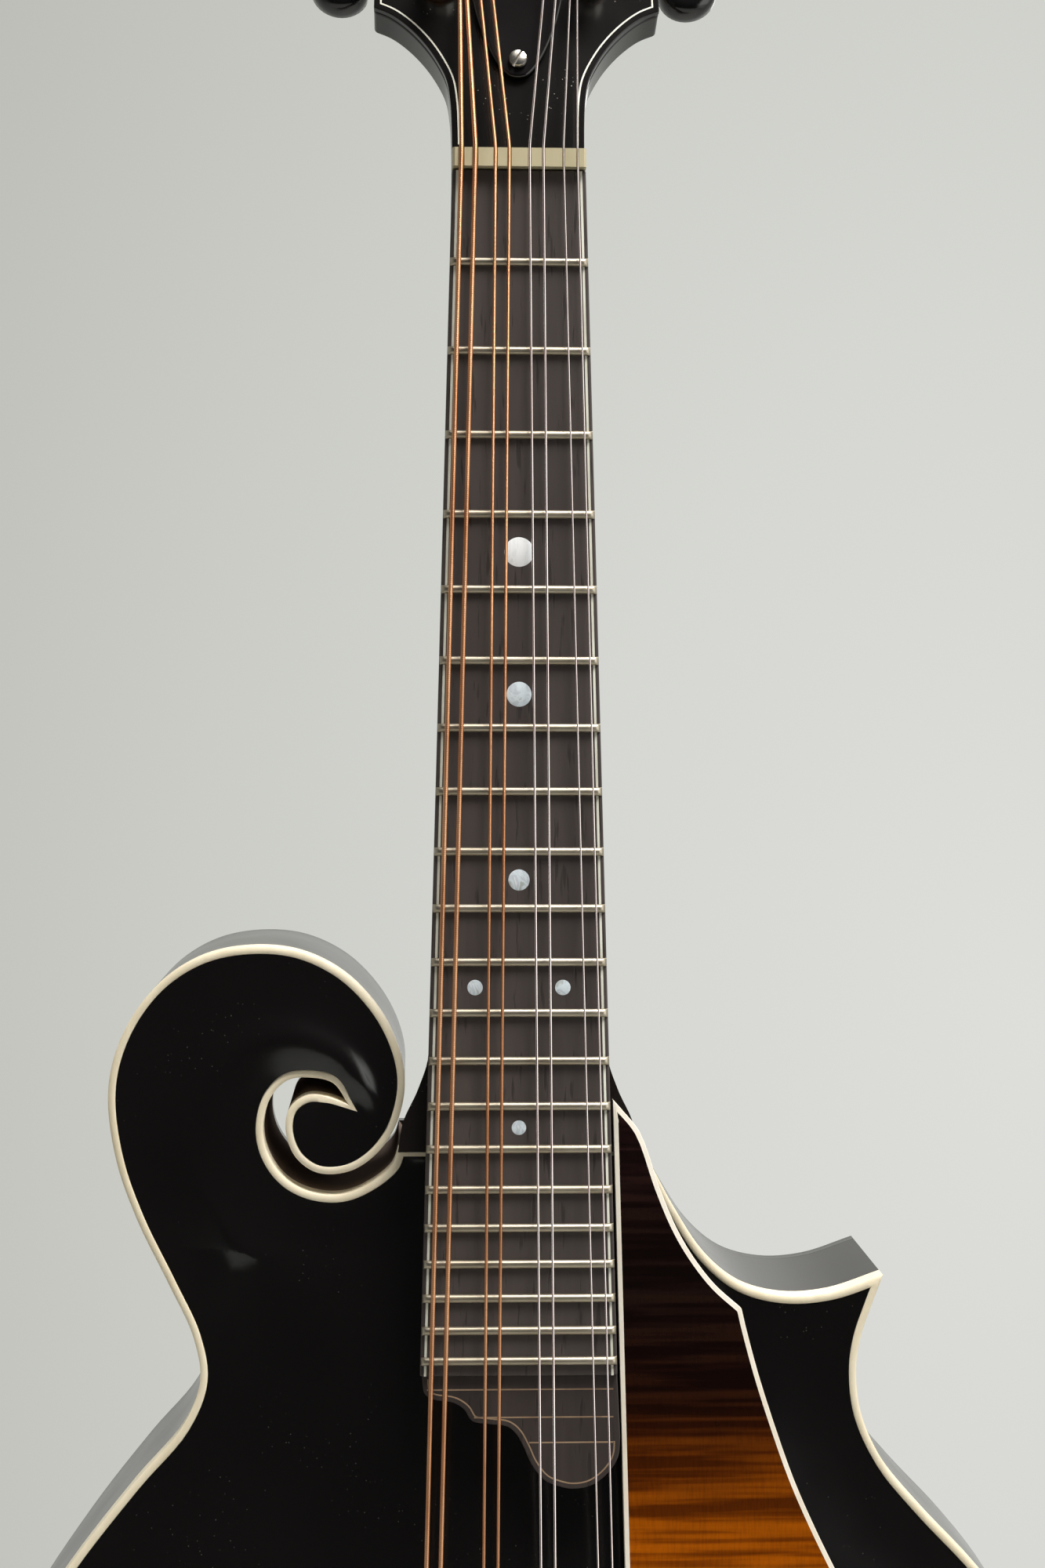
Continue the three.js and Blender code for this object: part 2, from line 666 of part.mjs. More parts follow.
const heelEndZ = neckEdgeZ + seatGap;
const heelBackY = ribBackY;
const heelRun = -heelEndZ - heelStart;
const heelBackShares = [[0, 0], [0.25, 0.06], [0.5, 0.22], [0.65, 0.5], [0.74, 0.9], [0.8, 1], [1, 1]];
const heelFlareShares = [[0, 0], [0.65, 0], [0.78, 0.35], [0.9, 0.85], [1, 1]];
const heelBoxedShares = [[0, 0], [0.4, 0.4], [0.75, 1], [1, 1]];
const heelStationShares = [0, 0.25, 0.5, 0.62, 0.7, 0.76, 0.82, 0.9, 1];
const shaftStationShares = [1, 0.66, 0.33, 0];
const ledgeZ = nutThickness + seatGap;

// Above the ledge the shaft runs on straight behind the head, until the head's back meets it.
const headBackY = seatGap + headThickness;
const headTilt = neckAngle + headPitch;
const headPlaneY = (z, depth) => z * Math.tan(headTilt) + depth / Math.cos(headTilt);
const rootReachShare = 0.92;
const rootEndZ = rootReachShare * (seatGap + neckDepthAtNut - headPlaneY(0, headBackY))
  / (Math.tan(headTilt) - Math.tan(neckAngle));

function neckRings() {
  const rings = heelStationShares.slice().reverse().map((share) => {
    const z = -heelStart - share * heelRun;
    const flare = readTable(heelFlareShares, share) * (heelHalfWidth - boardHalf(-heelEndZ));
    const shallow = gluePlaneY(z) + neckDepthAtHeel;
    const back = THREE.MathUtils.lerp(shallow, heelBackY, Math.min(readTable(heelBackShares, share), 1));
    return neckSection(z, boardHalf(-z) + flare, back, Math.min(readTable(heelBoxedShares, share), 1));
  });
  shaftStationShares.slice(1).forEach((share) => {
    const z = ledgeZ - share * (ledgeZ + heelStart);
    const depth = THREE.MathUtils.lerp(neckDepthAtNut, neckDepthAtHeel, share);
    rings.push(neckSection(z, boardHalf(Math.max(-z, 0)), gluePlaneY(z) + depth, 0));
  });
  for (const z of [ledgeZ + bite, rootEndZ]) {
    rings.push(neckSection(z, boardHalf(0), gluePlaneY(z) + neckDepthAtNut, 0, headPlaneY(z, seatGap + bite)));
  }
  return rings;
}

// The head's outline from the nut up the treble side, over the curl and down the bass side,
// as shares of its half width and length
const headShares = [
  [0.364, 0], [0.366, 0.06], [0.374, 0.1], [0.395, 0.13], [0.449, 0.158], [0.519, 0.183], [0.608, 0.206],
  [0.701, 0.223], [0.797, 0.233], [0.79, 0.26], [0.73, 0.3], [0.7, 0.36], [0.69, 0.46], [0.7, 0.57],
  [0.72, 0.67], [0.76, 0.76], [0.85, 0.81], [0.98, 0.85], [0.9, 0.865], [0.85, 0.885], [0.85, 0.915],
  [0.78, 0.955], [0.6, 0.987], [0.36, 1], [0.12, 0.985], [-0.08, 0.945], [-0.25, 0.895], [-0.38, 0.86],
  [-0.52, 0.842], [-0.7, 0.845], [-0.86, 0.86], [-1, 0.85], [-0.87, 0.81], [-0.77, 0.76], [-0.72, 0.67],
  [-0.7, 0.57], [-0.69, 0.46], [-0.7, 0.36], [-0.73, 0.3], [-0.79, 0.26], [-0.797, 0.233],
  [-0.701, 0.223], [-0.608, 0.206], [-0.519, 0.183], [-0.449, 0.158], [-0.395, 0.13], [-0.374, 0.1],
  [-0.366, 0.06], [-0.364, 0],
];
const headPoint = ([across, up]) => new THREE.Vector2(across * headHalfWidth, up * headLength);
const headOutline = headShares.map(headPoint);
const postRows = 4;
const postSides = 8;
// A faceted bore whose flats clear a turning shaft
const boreRadius = (shaft, sides) => (shaft + runningGap) / Math.cos(Math.PI / sides);
const postBoreRadius = boreRadius(postRadius, postSides);

function postPlaces() {
  const places = [];
  for (const side of [-1, 1]) {
    for (let row = 0; row < postRows; row++) {
      places.push({ side, x: side * postAcross, z: firstPost + row * postSpacing });
    }
  }
  return places;
}

const pocket = block(-pocketWidth / 2, pocketWidth / 2, -overlayThickness - overrun, pocketDepth,
  pocketAboveNut, pocketAboveNut + pocketLength);
const postBores = postPlaces().map(({ x, z }) =>
  pinAlongY(postBoreRadius, -overlayThickness - overrun, headBackY + overrun, x, z, postSides));

function neckGeometry() {
  const shaft = loft(neckRings());
  const head = prism(headOutline, seatGap, headBackY).applyMatrix4(headFrame);
  const tenon = block(-tenonWidth / 2, tenonWidth / 2, innerFrontY + seatGap, innerBackY - seatGap,
    neckEdgeZ - tenonLength, heelEndZ + bite);
  const riserHalf = boardHalf(-neckEdgeZ) - seatGap;
  const riserPoints = [
    new THREE.Vector2(heelEndZ + bite, gluePlaneY(heelEndZ + bite)),
    new THREE.Vector2(heelEndZ - riserLength, gluePlaneY(heelEndZ - riserLength)),
    new THREE.Vector2(heelEndZ - riserLength, faceY - seatGap),
    new THREE.Vector2(heelEndZ + bite, faceY - seatGap),
  ];
  const riser = profileAcross(riserPoints, 2 * riserHalf);
  const overTop = slab((x, z) => topFront(x, z) - seatGap, () => ribBackY);
  const rodChannel = block(-rodRadius - seatGap, rodRadius + seatGap, -overrun,
    rodDepth + rodRadius + seatGap, -heelStart - overrun, rodNutAboveNut + overrun).applyMatrix4(neckFrame);
  const tools = [pocket, ...postBores].map((tool) => tool.clone().applyMatrix4(headFrame));
  return cut(joined(shaft, head, cut(riser, overTop), tenon), rodChannel, ...tools);
}
piece('neck', 'blackLacquer', neckGeometry());

// Truss rod, its nut in the pocket, the cover and its two screws
const rodSides = 10;
const hexSides = 6;
const rodShape = pinAlongZ(rodRadius, -heelStart, rodNutAboveNut - seatGap, 0, rodDepth, rodSides);
piece('truss_rod', 'steel', rodShape, neckGroup);
const rodNutEnd = rodNutAboveNut + rodNutLength;
const rodNut = pinAlongZ(rodNutRadius, rodNutAboveNut, rodNutEnd, 0, rodDepth, hexSides);
const rodSocket = pinAlongZ(rodNutRadius / 2, rodNutEnd - rodNutLength / 2, rodNutEnd + overrun, 0,
  rodDepth, hexSides);
piece('truss_rod_nut', 'brass', cut(rodNut, rodSocket), neckGroup);

const overlayLow = ledgeZ + 2 * seatGap;
const overlayTrim = block(-headHalfWidth, headHalfWidth, -2 * overlayThickness, overlayThickness,
  -overrun, overlayLow);
const overlayBlank = prism(headOutline, -overlayThickness, 0);

// The cover's bell outline from its wide upper end down to its tongue, as shares of width and length
const coverHalfShares = [
  [0.4, 1], [0.5, 0.9], [0.5, 0.68], [0.45, 0.44], [0.335, 0.225], [0.2, 0.075], [0.09, 0.01], [0.03, 0],
];
const coverRight = coverHalfShares.map(([across, up]) =>
  new THREE.Vector2(across * coverPlateWidth, coverAboveNut + up * coverPlateLength));
const coverLeft = coverRight.map((point) => new THREE.Vector2(-point.x, point.y)).reverse();
const coverBack = -overlayThickness - seatGap;
const coverFront = coverBack - coverPlateThickness;
const screwSeat = coverFront - seatGap;
const screwSides = 10;
const slotHalf = screwRadius / 6;
const screwShares = { cover_screw_lower: 0.095, cover_screw_upper: 0.88 };
const screwBores = [];
for (const [name, share] of Object.entries(screwShares)) {
  const z = coverAboveNut + share * coverPlateLength;
  const head = pinAlongY(screwRadius, screwSeat - screwHeight, screwSeat, 0, z, screwSides);
  const shank = pinAlongY(screwShankRadius, screwSeat - screwHeight / 2, screwSeat + screwShankLength, 0, z,
    screwSides);
  const slot = block(-screwRadius - overrun, screwRadius + overrun, screwSeat - screwHeight - overrun,
    screwSeat - screwHeight / 2, z - slotHalf, z + slotHalf);
  piece(name, 'nickel', joined(cut(head, slot), shank), headGroup);
  screwBores.push(pinAlongY(screwShankRadius + seatGap, coverFront - overrun,
    screwSeat + screwShankLength + seatGap, 0, z, screwSides));
}
const coverBlank = prism([...coverRight, ...coverLeft], coverFront, coverBack);
piece('truss_rod_cover', 'ebony', cut(coverBlank, ...screwBores), headGroup);
piece('headstock_overlay', 'ebony', cut(overlayBlank, overlayTrim, pocket, ...postBores, ...screwBores),
  headGroup);

// Fretboard with its frets and the scooped extension
const boardEnd = fretDistance(fretCount) + boardPastLastFret;
const extensionShares = [
  [-0.98, 0], [-0.95, 0.16], [-0.86, 0.21], [-0.66, 0.24], [-0.55, 0.3], [-0.47, 0.4], [-0.28, 0.43],
  [-0.12, 0.45], [-0.03, 0.51], [0.05, 0.63], [0.13, 0.78], [0.26, 0.92], [0.42, 0.98], [0.56, 1],
  [0.74, 0.97], [0.91, 0.86], [1.01, 0.72], [1.03, 0.55], [1, 0],
];

function fretboardGeometry() {
  const endHalf = boardHalf(boardEnd);
  const corners = [
    new THREE.Vector2(-nutWidth / 2, -seatGap), new THREE.Vector2(nutWidth / 2, -seatGap),
    new THREE.Vector2(endHalf, -boardEnd), new THREE.Vector2(-endHalf, -boardEnd),
  ];
  const board = prism(corners, -boardThickness, 0);
  const extensionPoints = extensionShares.map(([across, down]) =>
    new THREE.Vector2(across * endHalf, -boardEnd + bite - down * (extensionLength + bite)));
  const parts = [board, prism(extensionPoints, -extensionThickness, 0)];
  for (let fret = 1; fret <= fretCount; fret++) {
    const half = boardHalf(fretDistance(fret));
    const profile = [
      new THREE.Vector2(-half, -boardThickness + bite),
      new THREE.Vector2(-half + fretBevel, -boardThickness - fretHeight),
      new THREE.Vector2(half - fretBevel, -boardThickness - fretHeight),
      new THREE.Vector2(half, -boardThickness + bite),
    ];
    parts.push(profileAlong(profile, fretWidth, -fretDistance(fret)));
  }
  return joined(...parts);
}
piece('fretboard', 'ebony', fretboardGeometry(), neckGroup);

// Strings: places across at the nut and the bridge, in four pairs from bass to treble
function stringAcross(number, spread) {
  const pair = Math.floor(number / 2);
  const pairStep = (spread - pairGap) / 3;
  return -spread / 2 + pair * pairStep + (number % 2) * pairGap;
}
const fretTopY = -boardThickness - fretHeight;
const stringAtNut = (number) => onNeck(stringAcross(number, stringSpreadAtNut),
  fretTopY - nutClearance - stringRadii[number], ledgeZ);
const stringAtBridge = (number) => onNeck(stringAcross(number, stringSpreadAtBridge),
  fretTopY - stringHeightAtBridge - stringRadii[number], -scaleLength);

function nutGeometry() {
  const top = -boardThickness - nutRise;
  const blank = block(-nutWidth / 2, nutWidth / 2, top, 0, 0, nutThickness);
  const slots = stringRadii.map((radius, number) => {
    const x = stringAcross(number, stringSpreadAtNut);
    const floor = fretTopY - nutClearance + slotSideRoom;
    return block(x - radius - slotSideRoom, x + radius + slotSideRoom, top - overrun, floor, -overrun,
      nutThickness + overrun);
  });
  return cut(blank, ...slots);
}
piece('nut', 'bone', nutGeometry(), neckGroup);

// Tuners: a plate with bearing lugs behind each side of the head
const gearPitchRadius = gearTeeth * gearPitch / (2 * Math.PI);
const wormOffset = gearPitchRadius + wormPitchRadius;
const plateFrontY = headBackY + seatGap;
const plateBackY = plateFrontY + tunerPlateThickness;
const wormTipRadius = wormPitchRadius + gearAddendum;
const gearMiddleY = plateBackY + wormTipRadius + seatGap;
const gearFrontY = gearMiddleY - gearWidth / 2;
const wormHalfLength = wormTurns * gearPitch / 2;
const lugInner = postAcross + wormHalfLength + gearPitch / 2;
const shaftSides = 6;
const tunerMiddle = firstPost + (postRows - 1) / 2 * postSpacing + wormOffset / 2;

function tunerPlate(side) {
  const x = side * (postAcross + plateOffset);
  const plate = block(x - tunerPlateWidth / 2, x + tunerPlateWidth / 2, plateFrontY, plateBackY,
    tunerMiddle - tunerPlateLength / 2, tunerMiddle + tunerPlateLength / 2);
  const lugs = [];
  const bores = [];
  for (const { x: across, z } of postPlaces().filter((place) => place.side === side)) {
    const inner = side * lugInner;
    const outer = inner + side * lugLength;
    const wormZ = z + wormOffset;
    lugs.push(block(Math.min(inner, outer), Math.max(inner, outer), plateBackY - bite,
      gearMiddleY + wormTipRadius, wormZ - wormTipRadius, wormZ + wormTipRadius));
    bores.push(pinAlongX(boreRadius(wormShaftRadius, shaftSides), Math.min(inner, outer) - overrun,
      Math.max(inner, outer) + overrun, gearMiddleY, wormZ, shaftSides));
    bores.push(pinAlongY(postBoreRadius, plateFrontY - overrun, plateBackY + overrun, across, z, postSides));
  }
  return cut(joined(plate, ...lugs), ...bores);
}
piece('tuner_plate_bass', 'nickel', tunerPlate(-1), headGroup);
piece('tuner_plate_treble', 'nickel', tunerPlate(1), headGroup);

// A post with its gear, in mesh with its worm at rest
function gearOutline() {
  const points = [];
  const tip = gearPitchRadius + gearAddendum;
  const root = gearPitchRadius - gearDedendum;
  const toothStep = 2 * Math.PI / gearTeeth;
  for (let tooth = 0; tooth < gearTeeth; tooth++) {
    for (const [turn, radius] of [[0, tip], [0.5, root]]) {
      const angle = Math.PI / 2 + (tooth + turn) * toothStep;
      points.push(new THREE.Vector2(radius * Math.cos(angle), radius * Math.sin(angle)));
    }
  }
  return points;
}

function tunerPost(x, z) {
  const gear = prism(gearOutline(), gearFrontY, gearFrontY + gearWidth);
  const post = pinAlongY(postRadius, -overlayThickness - postRise, gearFrontY + bite, 0, 0, postSides);
  return joined(gear, post).translate(x, 0, z);
}

// The worm's single thread has a gap facing the gear's tooth at rest. Its core is turned a little,
// so that no edge of the core meets one of the thread's.
const threadSteps = 6;
const coreTurn = Math.PI / 12;
const [threadFootShare, threadLowShare, buttonSinkShare] = [0.6, 0.8, 0.7];
const [buttonSides, buttonRows] = [8, 5];

function tunerShaft(side, x, z) {
  const inner = -side * (wormHalfLength + gearPitch / 2);
  const outer = side * (buttonAcross - postAcross);
  const core = pinAlongX(wormShaftRadius, Math.min(inner, outer), Math.max(inner, outer), 0, 0, shaftSides);
  const rings = [];
  const steps = wormTurns * threadSteps;
  const foot = new THREE.Vector3(gearPitch * threadFootShare / 2, 0, 0);
  for (let step = 0; step <= steps; step++) {
    const angle = 2 * Math.PI * step / threadSteps;
    const middle = new THREE.Vector3(-wormHalfLength + step * gearPitch / threadSteps, 0, 0);
    const outwards = new THREE.Vector3(0, Math.cos(angle), Math.sin(angle));
    const low = middle.clone().addScaledVector(outwards, wormShaftRadius * threadLowShare);
    const tip = middle.clone().addScaledVector(outwards, wormTipRadius);
    rings.push([low.clone().add(foot), tip, low.clone().sub(foot)]);
  }
  const button = new THREE.SphereGeometry(1, buttonSides, buttonRows).scale(...buttonRadii);
  button.translate(outer + side * buttonRadii[0] * buttonSinkShare, 0, 0);
  return joined(core.rotateX(coreTurn), loft(rings), button).translate(x, gearMiddleY, z + wormOffset);
}

const courseNames = ['g_outer', 'g_inner', 'd_outer', 'd_inner', 'a_inner', 'a_outer', 'e_inner', 'e_outer'];
// Strings run to the posts in this order: outer strings to the posts nearest the nut
const postRowOfString = [0, 1, 2, 3, 3, 2, 1, 0];
courseNames.forEach((course, number) => {
  const side = number < 4 ? -1 : 1;
  const x = side * postAcross;
  const z = firstPost + postRowOfString[number] * postSpacing;
  piece(`tuner_post_${course}`, 'nickel', tunerPost(x, z), headGroup);
  piece(`tuner_shaft_${course}`, 'blackButton', tunerShaft(side, x, z), headGroup);
});

// Bridge: a base fitted to the arch, two studs, two thumb wheels and a saddle
const stringPlaneAtBridge = stringAtBridge(0);
const saddleTopY = stringPlaneAtBridge.y + stringRadii[0] + seatGap;
const saddleLowestRoom = saddleTravel + seatGap;
const bridgeLowZ = stringPlaneAtBridge.z;
const overArch = slab((x, z) => topFront(x, z) - seatGap, () => ribBackY);
const crownY = topFront(0, bridgeLowZ);
const baseFrontY = crownY - seatGap - bridgeBaseHeight;
const wheelBackY = baseFrontY - saddleLowestRoom;
const wheelFrontY = wheelBackY - wheelThickness;
const saddleBackY = wheelFrontY - seatGap;
const studFrontY = saddleBackY - studPastWheel;
const studSides = 10;
const wheelSides = 20;
const baseSideShares = [[-0.5, 0.35], [-0.44, 0.6], [-0.34, 1], [0.34, 1], [0.44, 0.6], [0.5, 0.35]];

function bridgeBase() {
  const outlinePoints = baseSideShares.map(([across, height]) =>
    new THREE.Vector2(across * bridgeLength, crownY - seatGap - height * bridgeBaseHeight));
  const low = crownY + topArch / 2;
  const corners = [new THREE.Vector2(bridgeLength / 2, low), new THREE.Vector2(-bridgeLength / 2, low)];
  const bar = profileAlong([...outlinePoints, ...corners], bridgeBaseWidth, bridgeLowZ);
  const studs = [-1, 1].map((side) =>
    pinAlongY(studRadius, studFrontY, baseFrontY + bite, side * studSpread / 2, bridgeLowZ, studSides));
  return joined(cut(bar, overArch), ...studs);
}
piece('bridge_base', 'ebony', bridgeBase());

const saddleSideShares = [
  [-0.5, 0.55], [-0.42, 0.75], [-0.3, 0.95], [-0.2, 1], [0.2, 1], [0.3, 0.95], [0.42, 0.75], [0.5, 0.55],
];

function saddleGeometry() {
  const height = saddleBackY - saddleTopY;
  const top = saddleSideShares.map(([across, share]) =>
    new THREE.Vector2(across * saddleLength, saddleBackY - share * height));
  const corners = [
    new THREE.Vector2(saddleLength / 2, saddleBackY), new THREE.Vector2(-saddleLength / 2, saddleBackY),
  ];
  const bar = profileAlong([...top, ...corners], saddleWidth, bridgeLowZ);
  const boreEnd = studFrontY - saddleLowestRoom;
  const bores = [-1, 1].map((side) => pinAlongY(boreRadius(studRadius, studSides), boreEnd,
    saddleBackY + overrun, side * studSpread / 2, bridgeLowZ, studSides));
  return cut(bar, ...bores);
}
piece('bridge_saddle', 'ebony', saddleGeometry());

for (const [name, side] of [['thumbwheel_bass', -1], ['thumbwheel_treble', 1]]) {
  const rim = pinAlongY(wheelRadius, wheelFrontY, wheelBackY, side * studSpread / 2, bridgeLowZ, wheelSides);
  const bore = pinAlongY(boreRadius(studRadius, studSides), wheelFrontY - overrun, wheelBackY + overrun,
    side * studSpread / 2, bridgeLowZ, studSides);
  piece(name, 'brass', cut(rim, bore));
}

// Tailpiece: a bent plate with hooks, and a cover that slides up along its slope
const tailTopZ = tailZ + tailLength;
const tailLegZ = tailZ - seatGap;
const footFrontY = faceY - tailFoot;
const liftFrontY = faceY - tailLift;
const [hooksShare, coverLowShare, coverHighShare] = [0.7, 0.08, 0.96];
const tailHooksZ = tailZ + hooksShare * tailLength;
const hookSides = 6;
const tailAcross = (number) => stringAcross(number, hookSpread);

function tailPlateY(z) {
  return THREE.MathUtils.lerp(footFrontY, liftFrontY, (z - tailZ) / tailLength);
}
const hookFootY = tailPlateY(tailHooksZ) - tailSheet;
// Places along the plate's slope, a lift in front of it
const alongSlope = (lift, from, to) => [
  new THREE.Vector2(from, tailPlateY(from) - lift), new THREE.Vector2(to, tailPlateY(to) - lift),
];

function tailBase() {
  const side = [
    new THREE.Vector2(tailTopZ, liftFrontY), new THREE.Vector2(tailTopZ, liftFrontY - tailSheet),
    new THREE.Vector2(tailLegZ - tailSheet, footFrontY - tailSheet),
    new THREE.Vector2(tailLegZ - tailSheet, footFrontY + tailLegDepth),
    new THREE.Vector2(tailLegZ, footFrontY + tailLegDepth), new THREE.Vector2(tailLegZ, footFrontY),
  ];
  const hooks = stringRadii.map((radius, number) => pinAlongY(hookRadius, hookFootY - hookHeight,
    hookFootY + tailSheet / 2, tailAcross(number), tailHooksZ, hookSides));
  const pinHole = pinAlongZ(pinRadius + glueLine, tailLegZ - tailSheet - overrun, tailLegZ + overrun, 0,
    pinMiddleY, pinSides);
  return cut(joined(profileAcross(side, tailWidth), ...hooks), pinHole);
}
piece('tailpiece_base', 'nickel', tailBase());

function tailCover() {
  const low = tailZ + coverLowShare * tailLength;
  const high = tailZ + coverHighShare * tailLength;
  const floor = tailSheet + seatGap;
  const shell = [...alongSlope(floor, low, high), ...alongSlope(coverHeight, low, high).reverse()];
  const room = [
    ...alongSlope(floor - overrun, low + coverSheet, high + overrun),
    ...alongSlope(coverHeight - coverSheet, low + coverSheet, high + overrun).reverse(),
  ];
  return cut(profileAcross(shell, tailWidth), profileAcross(room, tailWidth - 2 * coverSheet));
}
piece('tailpiece_cover', 'nickel', tailCover());

const pinHeadHigh = tailLegZ - tailSheet - glueLine;
const pinHeadLow = pinHeadHigh - pinLength;
const pinHeadSides = 12;
const pinShaft = pinAlongZ(pinRadius, pinHeadHigh - overrun, tailZ + pinInset - seatGap, 0, pinMiddleY,
  pinSides);
const pinProfileShares = [
  [0, 0], [0.8, 0], [1, 0.12], [1, 0.3], [0.68, 0.55], [0.75, 0.85], [0.95, 0.92], [0.95, 1], [0, 1],
];
const pinProfile = pinProfileShares.map(([out, up]) =>
  new THREE.Vector2(out * pinHeadRadius, THREE.MathUtils.lerp(pinHeadLow, pinHeadHigh, up)));
const pinHead = new THREE.LatheGeometry(pinProfile, pinHeadSides);
pinHead.rotateX(Math.PI / 2).translate(0, pinMiddleY, 0);
piece('end_pin', 'blackButton', joined(pinHead, pinShaft));

// Strings from the tailpiece's hooks over the saddle and the nut to the turns on their posts
const woundSteps = 8;
const stringSides = 5;
const [headRunShare, anchorShare] = [0.45, 0.8];
const headRunY = -overlayThickness - headRunShare * postRise;

function stringPath(number) {
  const radius = stringRadii[number];
  const side = number < 4 ? -1 : 1;
  const nut = stringAtNut(number);
  const saddle = stringAtBridge(number);
  const anchor = new THREE.Vector3(tailAcross(number), hookFootY - anchorShare * hookHeight - radius,
    tailHooksZ + hookRadius + seatGap);
  const postX = side * postAcross;
  const postZ = firstPost + postRowOfString[number] * postSpacing;
  const turnRadius = (postRadius + radius + woundRadialRoom) / Math.cos(Math.PI / woundSteps);
  const points = [anchor, saddle, nut];
  const steps = Math.round(woundTurns * woundSteps);
  for (let step = 0; step <= steps; step++) {
    const angle = 2 * Math.PI * step / woundSteps;
    const x = postX - side * turnRadius * Math.cos(angle);
    const z = postZ + turnRadius * Math.sin(angle);
    const y = headRunY + step / woundSteps * (2 * radius + woundGap);
    points.push(onHead(x, y, z));
  }
  return points;
}

// The least room between one turn of a string and the next, on its points
function leastTurnGap(points, radius) {
  const turns = points.slice(points.length - Math.round(woundTurns * woundSteps) - 1);
  let least = Infinity;
  turns.forEach((point, at) => {
    for (let other = at + woundSteps / 2; other < turns.length; other++) {
      least = Math.min(least, point.distanceTo(turns[other]) - 2 * radius);
    }
  });
  return least;
}

const turnGaps = courseNames.map((course, number) => {
  const path = stringPath(number);
  const radius = stringRadii[number];
  piece(`string_${course}`, number < 4 ? 'bronze' : 'steel', rodAlong(path, radius, stringSides));
  return leastTurnGap(path, radius);
});
console.log(`The strings' turns clear each other by at least ${Math.min(...turnGaps).toFixed(2)} mm`);

// Pickguard beside the fretboard, level with the strings, on a bracket from the top
const guardTopZ = -fretDistance(joinFret) + guardPastJoin;
const guardLength = guardTopZ + scaleLength - guardEndAboveBridge;
const guardInnerEndShare = 0.95;
const guardInner = (z) => boardHalf(-z) + guardSideGap;
const guardOuterShares = [
  [0.35, 0.01], [0.42, 0.045], [0.49, 0.123], [0.547, 0.177], [0.605, 0.217], [0.683, 0.257],
  [0.773, 0.289], [0.788, 0.315], [0.83, 0.378], [0.883, 0.445], [0.95, 0.521], [1.018, 0.584],
  [1.092, 0.645], [1.183, 0.716], [1.258, 0.789], [1.267, 0.863], [1.183, 0.923], [1.033, 0.949],
  [0.75, 0.959], [0.5, 0.963],
];

function guardGeometry() {
  const outer = guardOuterShares.map(([across, down]) =>
    new THREE.Vector2(across * guardWidth, guardTopZ - down * guardLength));
  const lowZ = guardTopZ - guardInnerEndShare * guardLength;
  const inner = [
    new THREE.Vector2(guardInner(lowZ), lowZ), new THREE.Vector2(guardInner(guardTopZ), guardTopZ),
  ];
  const front = -boardThickness + guardBelowBoardTop;
  return prism([...outer, ...inner], front, front + guardThickness);
}
piece('pickguard', 'guard', guardGeometry(), neckGroup);

const guardBackAtBracket = onNeck(0, -boardThickness + guardBelowBoardTop + guardThickness + seatGap,
  bracketAboveBridge - scaleLength);
const bracketFrontY = guardBackAtBracket.y + bracketWidth / 2 * Math.tan(neckAngle);
const bracket = block(bracketAcross - bracketWidth / 2, bracketAcross + bracketWidth / 2,
  bracketFrontY, ribFrontY,
  guardBackAtBracket.z - bracketWidth / 2, guardBackAtBracket.z + bracketWidth / 2);
piece('pickguard_bracket', 'nickel', cut(bracket, overArch));

export default meshes;
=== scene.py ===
import math

import bmesh
import bpy
import numpy as np
from mathutils import Matrix, Vector
from mathutils.geometry import delaunay_2d_cdt

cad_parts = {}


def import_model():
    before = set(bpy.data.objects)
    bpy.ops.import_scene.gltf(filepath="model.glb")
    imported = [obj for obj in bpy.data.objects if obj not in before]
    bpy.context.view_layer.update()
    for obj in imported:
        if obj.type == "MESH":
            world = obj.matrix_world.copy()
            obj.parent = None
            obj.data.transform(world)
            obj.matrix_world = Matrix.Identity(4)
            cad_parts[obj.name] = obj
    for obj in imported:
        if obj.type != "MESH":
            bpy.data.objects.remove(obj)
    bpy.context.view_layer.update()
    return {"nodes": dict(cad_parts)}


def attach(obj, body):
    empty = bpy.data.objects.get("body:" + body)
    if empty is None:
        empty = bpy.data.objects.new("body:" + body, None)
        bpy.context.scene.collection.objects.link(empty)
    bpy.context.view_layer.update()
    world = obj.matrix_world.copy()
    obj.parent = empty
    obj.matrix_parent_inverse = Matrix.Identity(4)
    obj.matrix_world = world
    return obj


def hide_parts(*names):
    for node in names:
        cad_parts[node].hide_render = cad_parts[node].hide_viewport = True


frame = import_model()
MM = 0.001
TINY = 1e-9

# Sizes in millimetres, as in the part's source
SCALE_LENGTH = 353.0
JOIN_FRET = 15
FRET_COUNT = 21
NECK_ANGLE = math.radians(4)
HEAD_PITCH = math.radians(14)
NUT_WIDTH = 28.0
LAST_FRET_WIDTH = 40.6
BOARD_THICKNESS = 5.0
BOARD_PAST_LAST_FRET = 3.5
EXTENSION_LENGTH = 23.0
EXTENSION_THICKNESS = 3.8
FRET_HEIGHT = 1.0
FRET_WIDTH = 1.75
NECK_DEPTH_NUT = 15.5
NECK_DEPTH_HEEL = 17.5
HEEL_START = 152.0
HEEL_CAP_LENGTH = 14.0
NUT_THICKNESS = 3.9
NUT_RISE = 1.9
BODY_HALF = 127.0
HEEL_HALF = 0.197 * BODY_HALF
BODY_DROP = 309.5
EDGE_PAST_JOIN = 1.4
EDGE_BELOW_BOARD = 6.0
TOP_EDGE = 5.5
RIB_DEPTH = 34.0
BACK_EDGE = 5.0
RIB_THICKNESS = 2.3
BINDING_WIDTH = 1.55
LINING_WIDTH = 5.5
LINING_DEPTH = 9.0
TOP_ARCH = 11.0
BACK_ARCH = 9.5
ARCH_REACH = 66.0
PLATE_CENTRE = 4.4
PLATE_LAND = 10.0
HOLE_LENGTH = 84.0
HOLE_SPREAD = 102.0
HOLE_STEM = 5.0
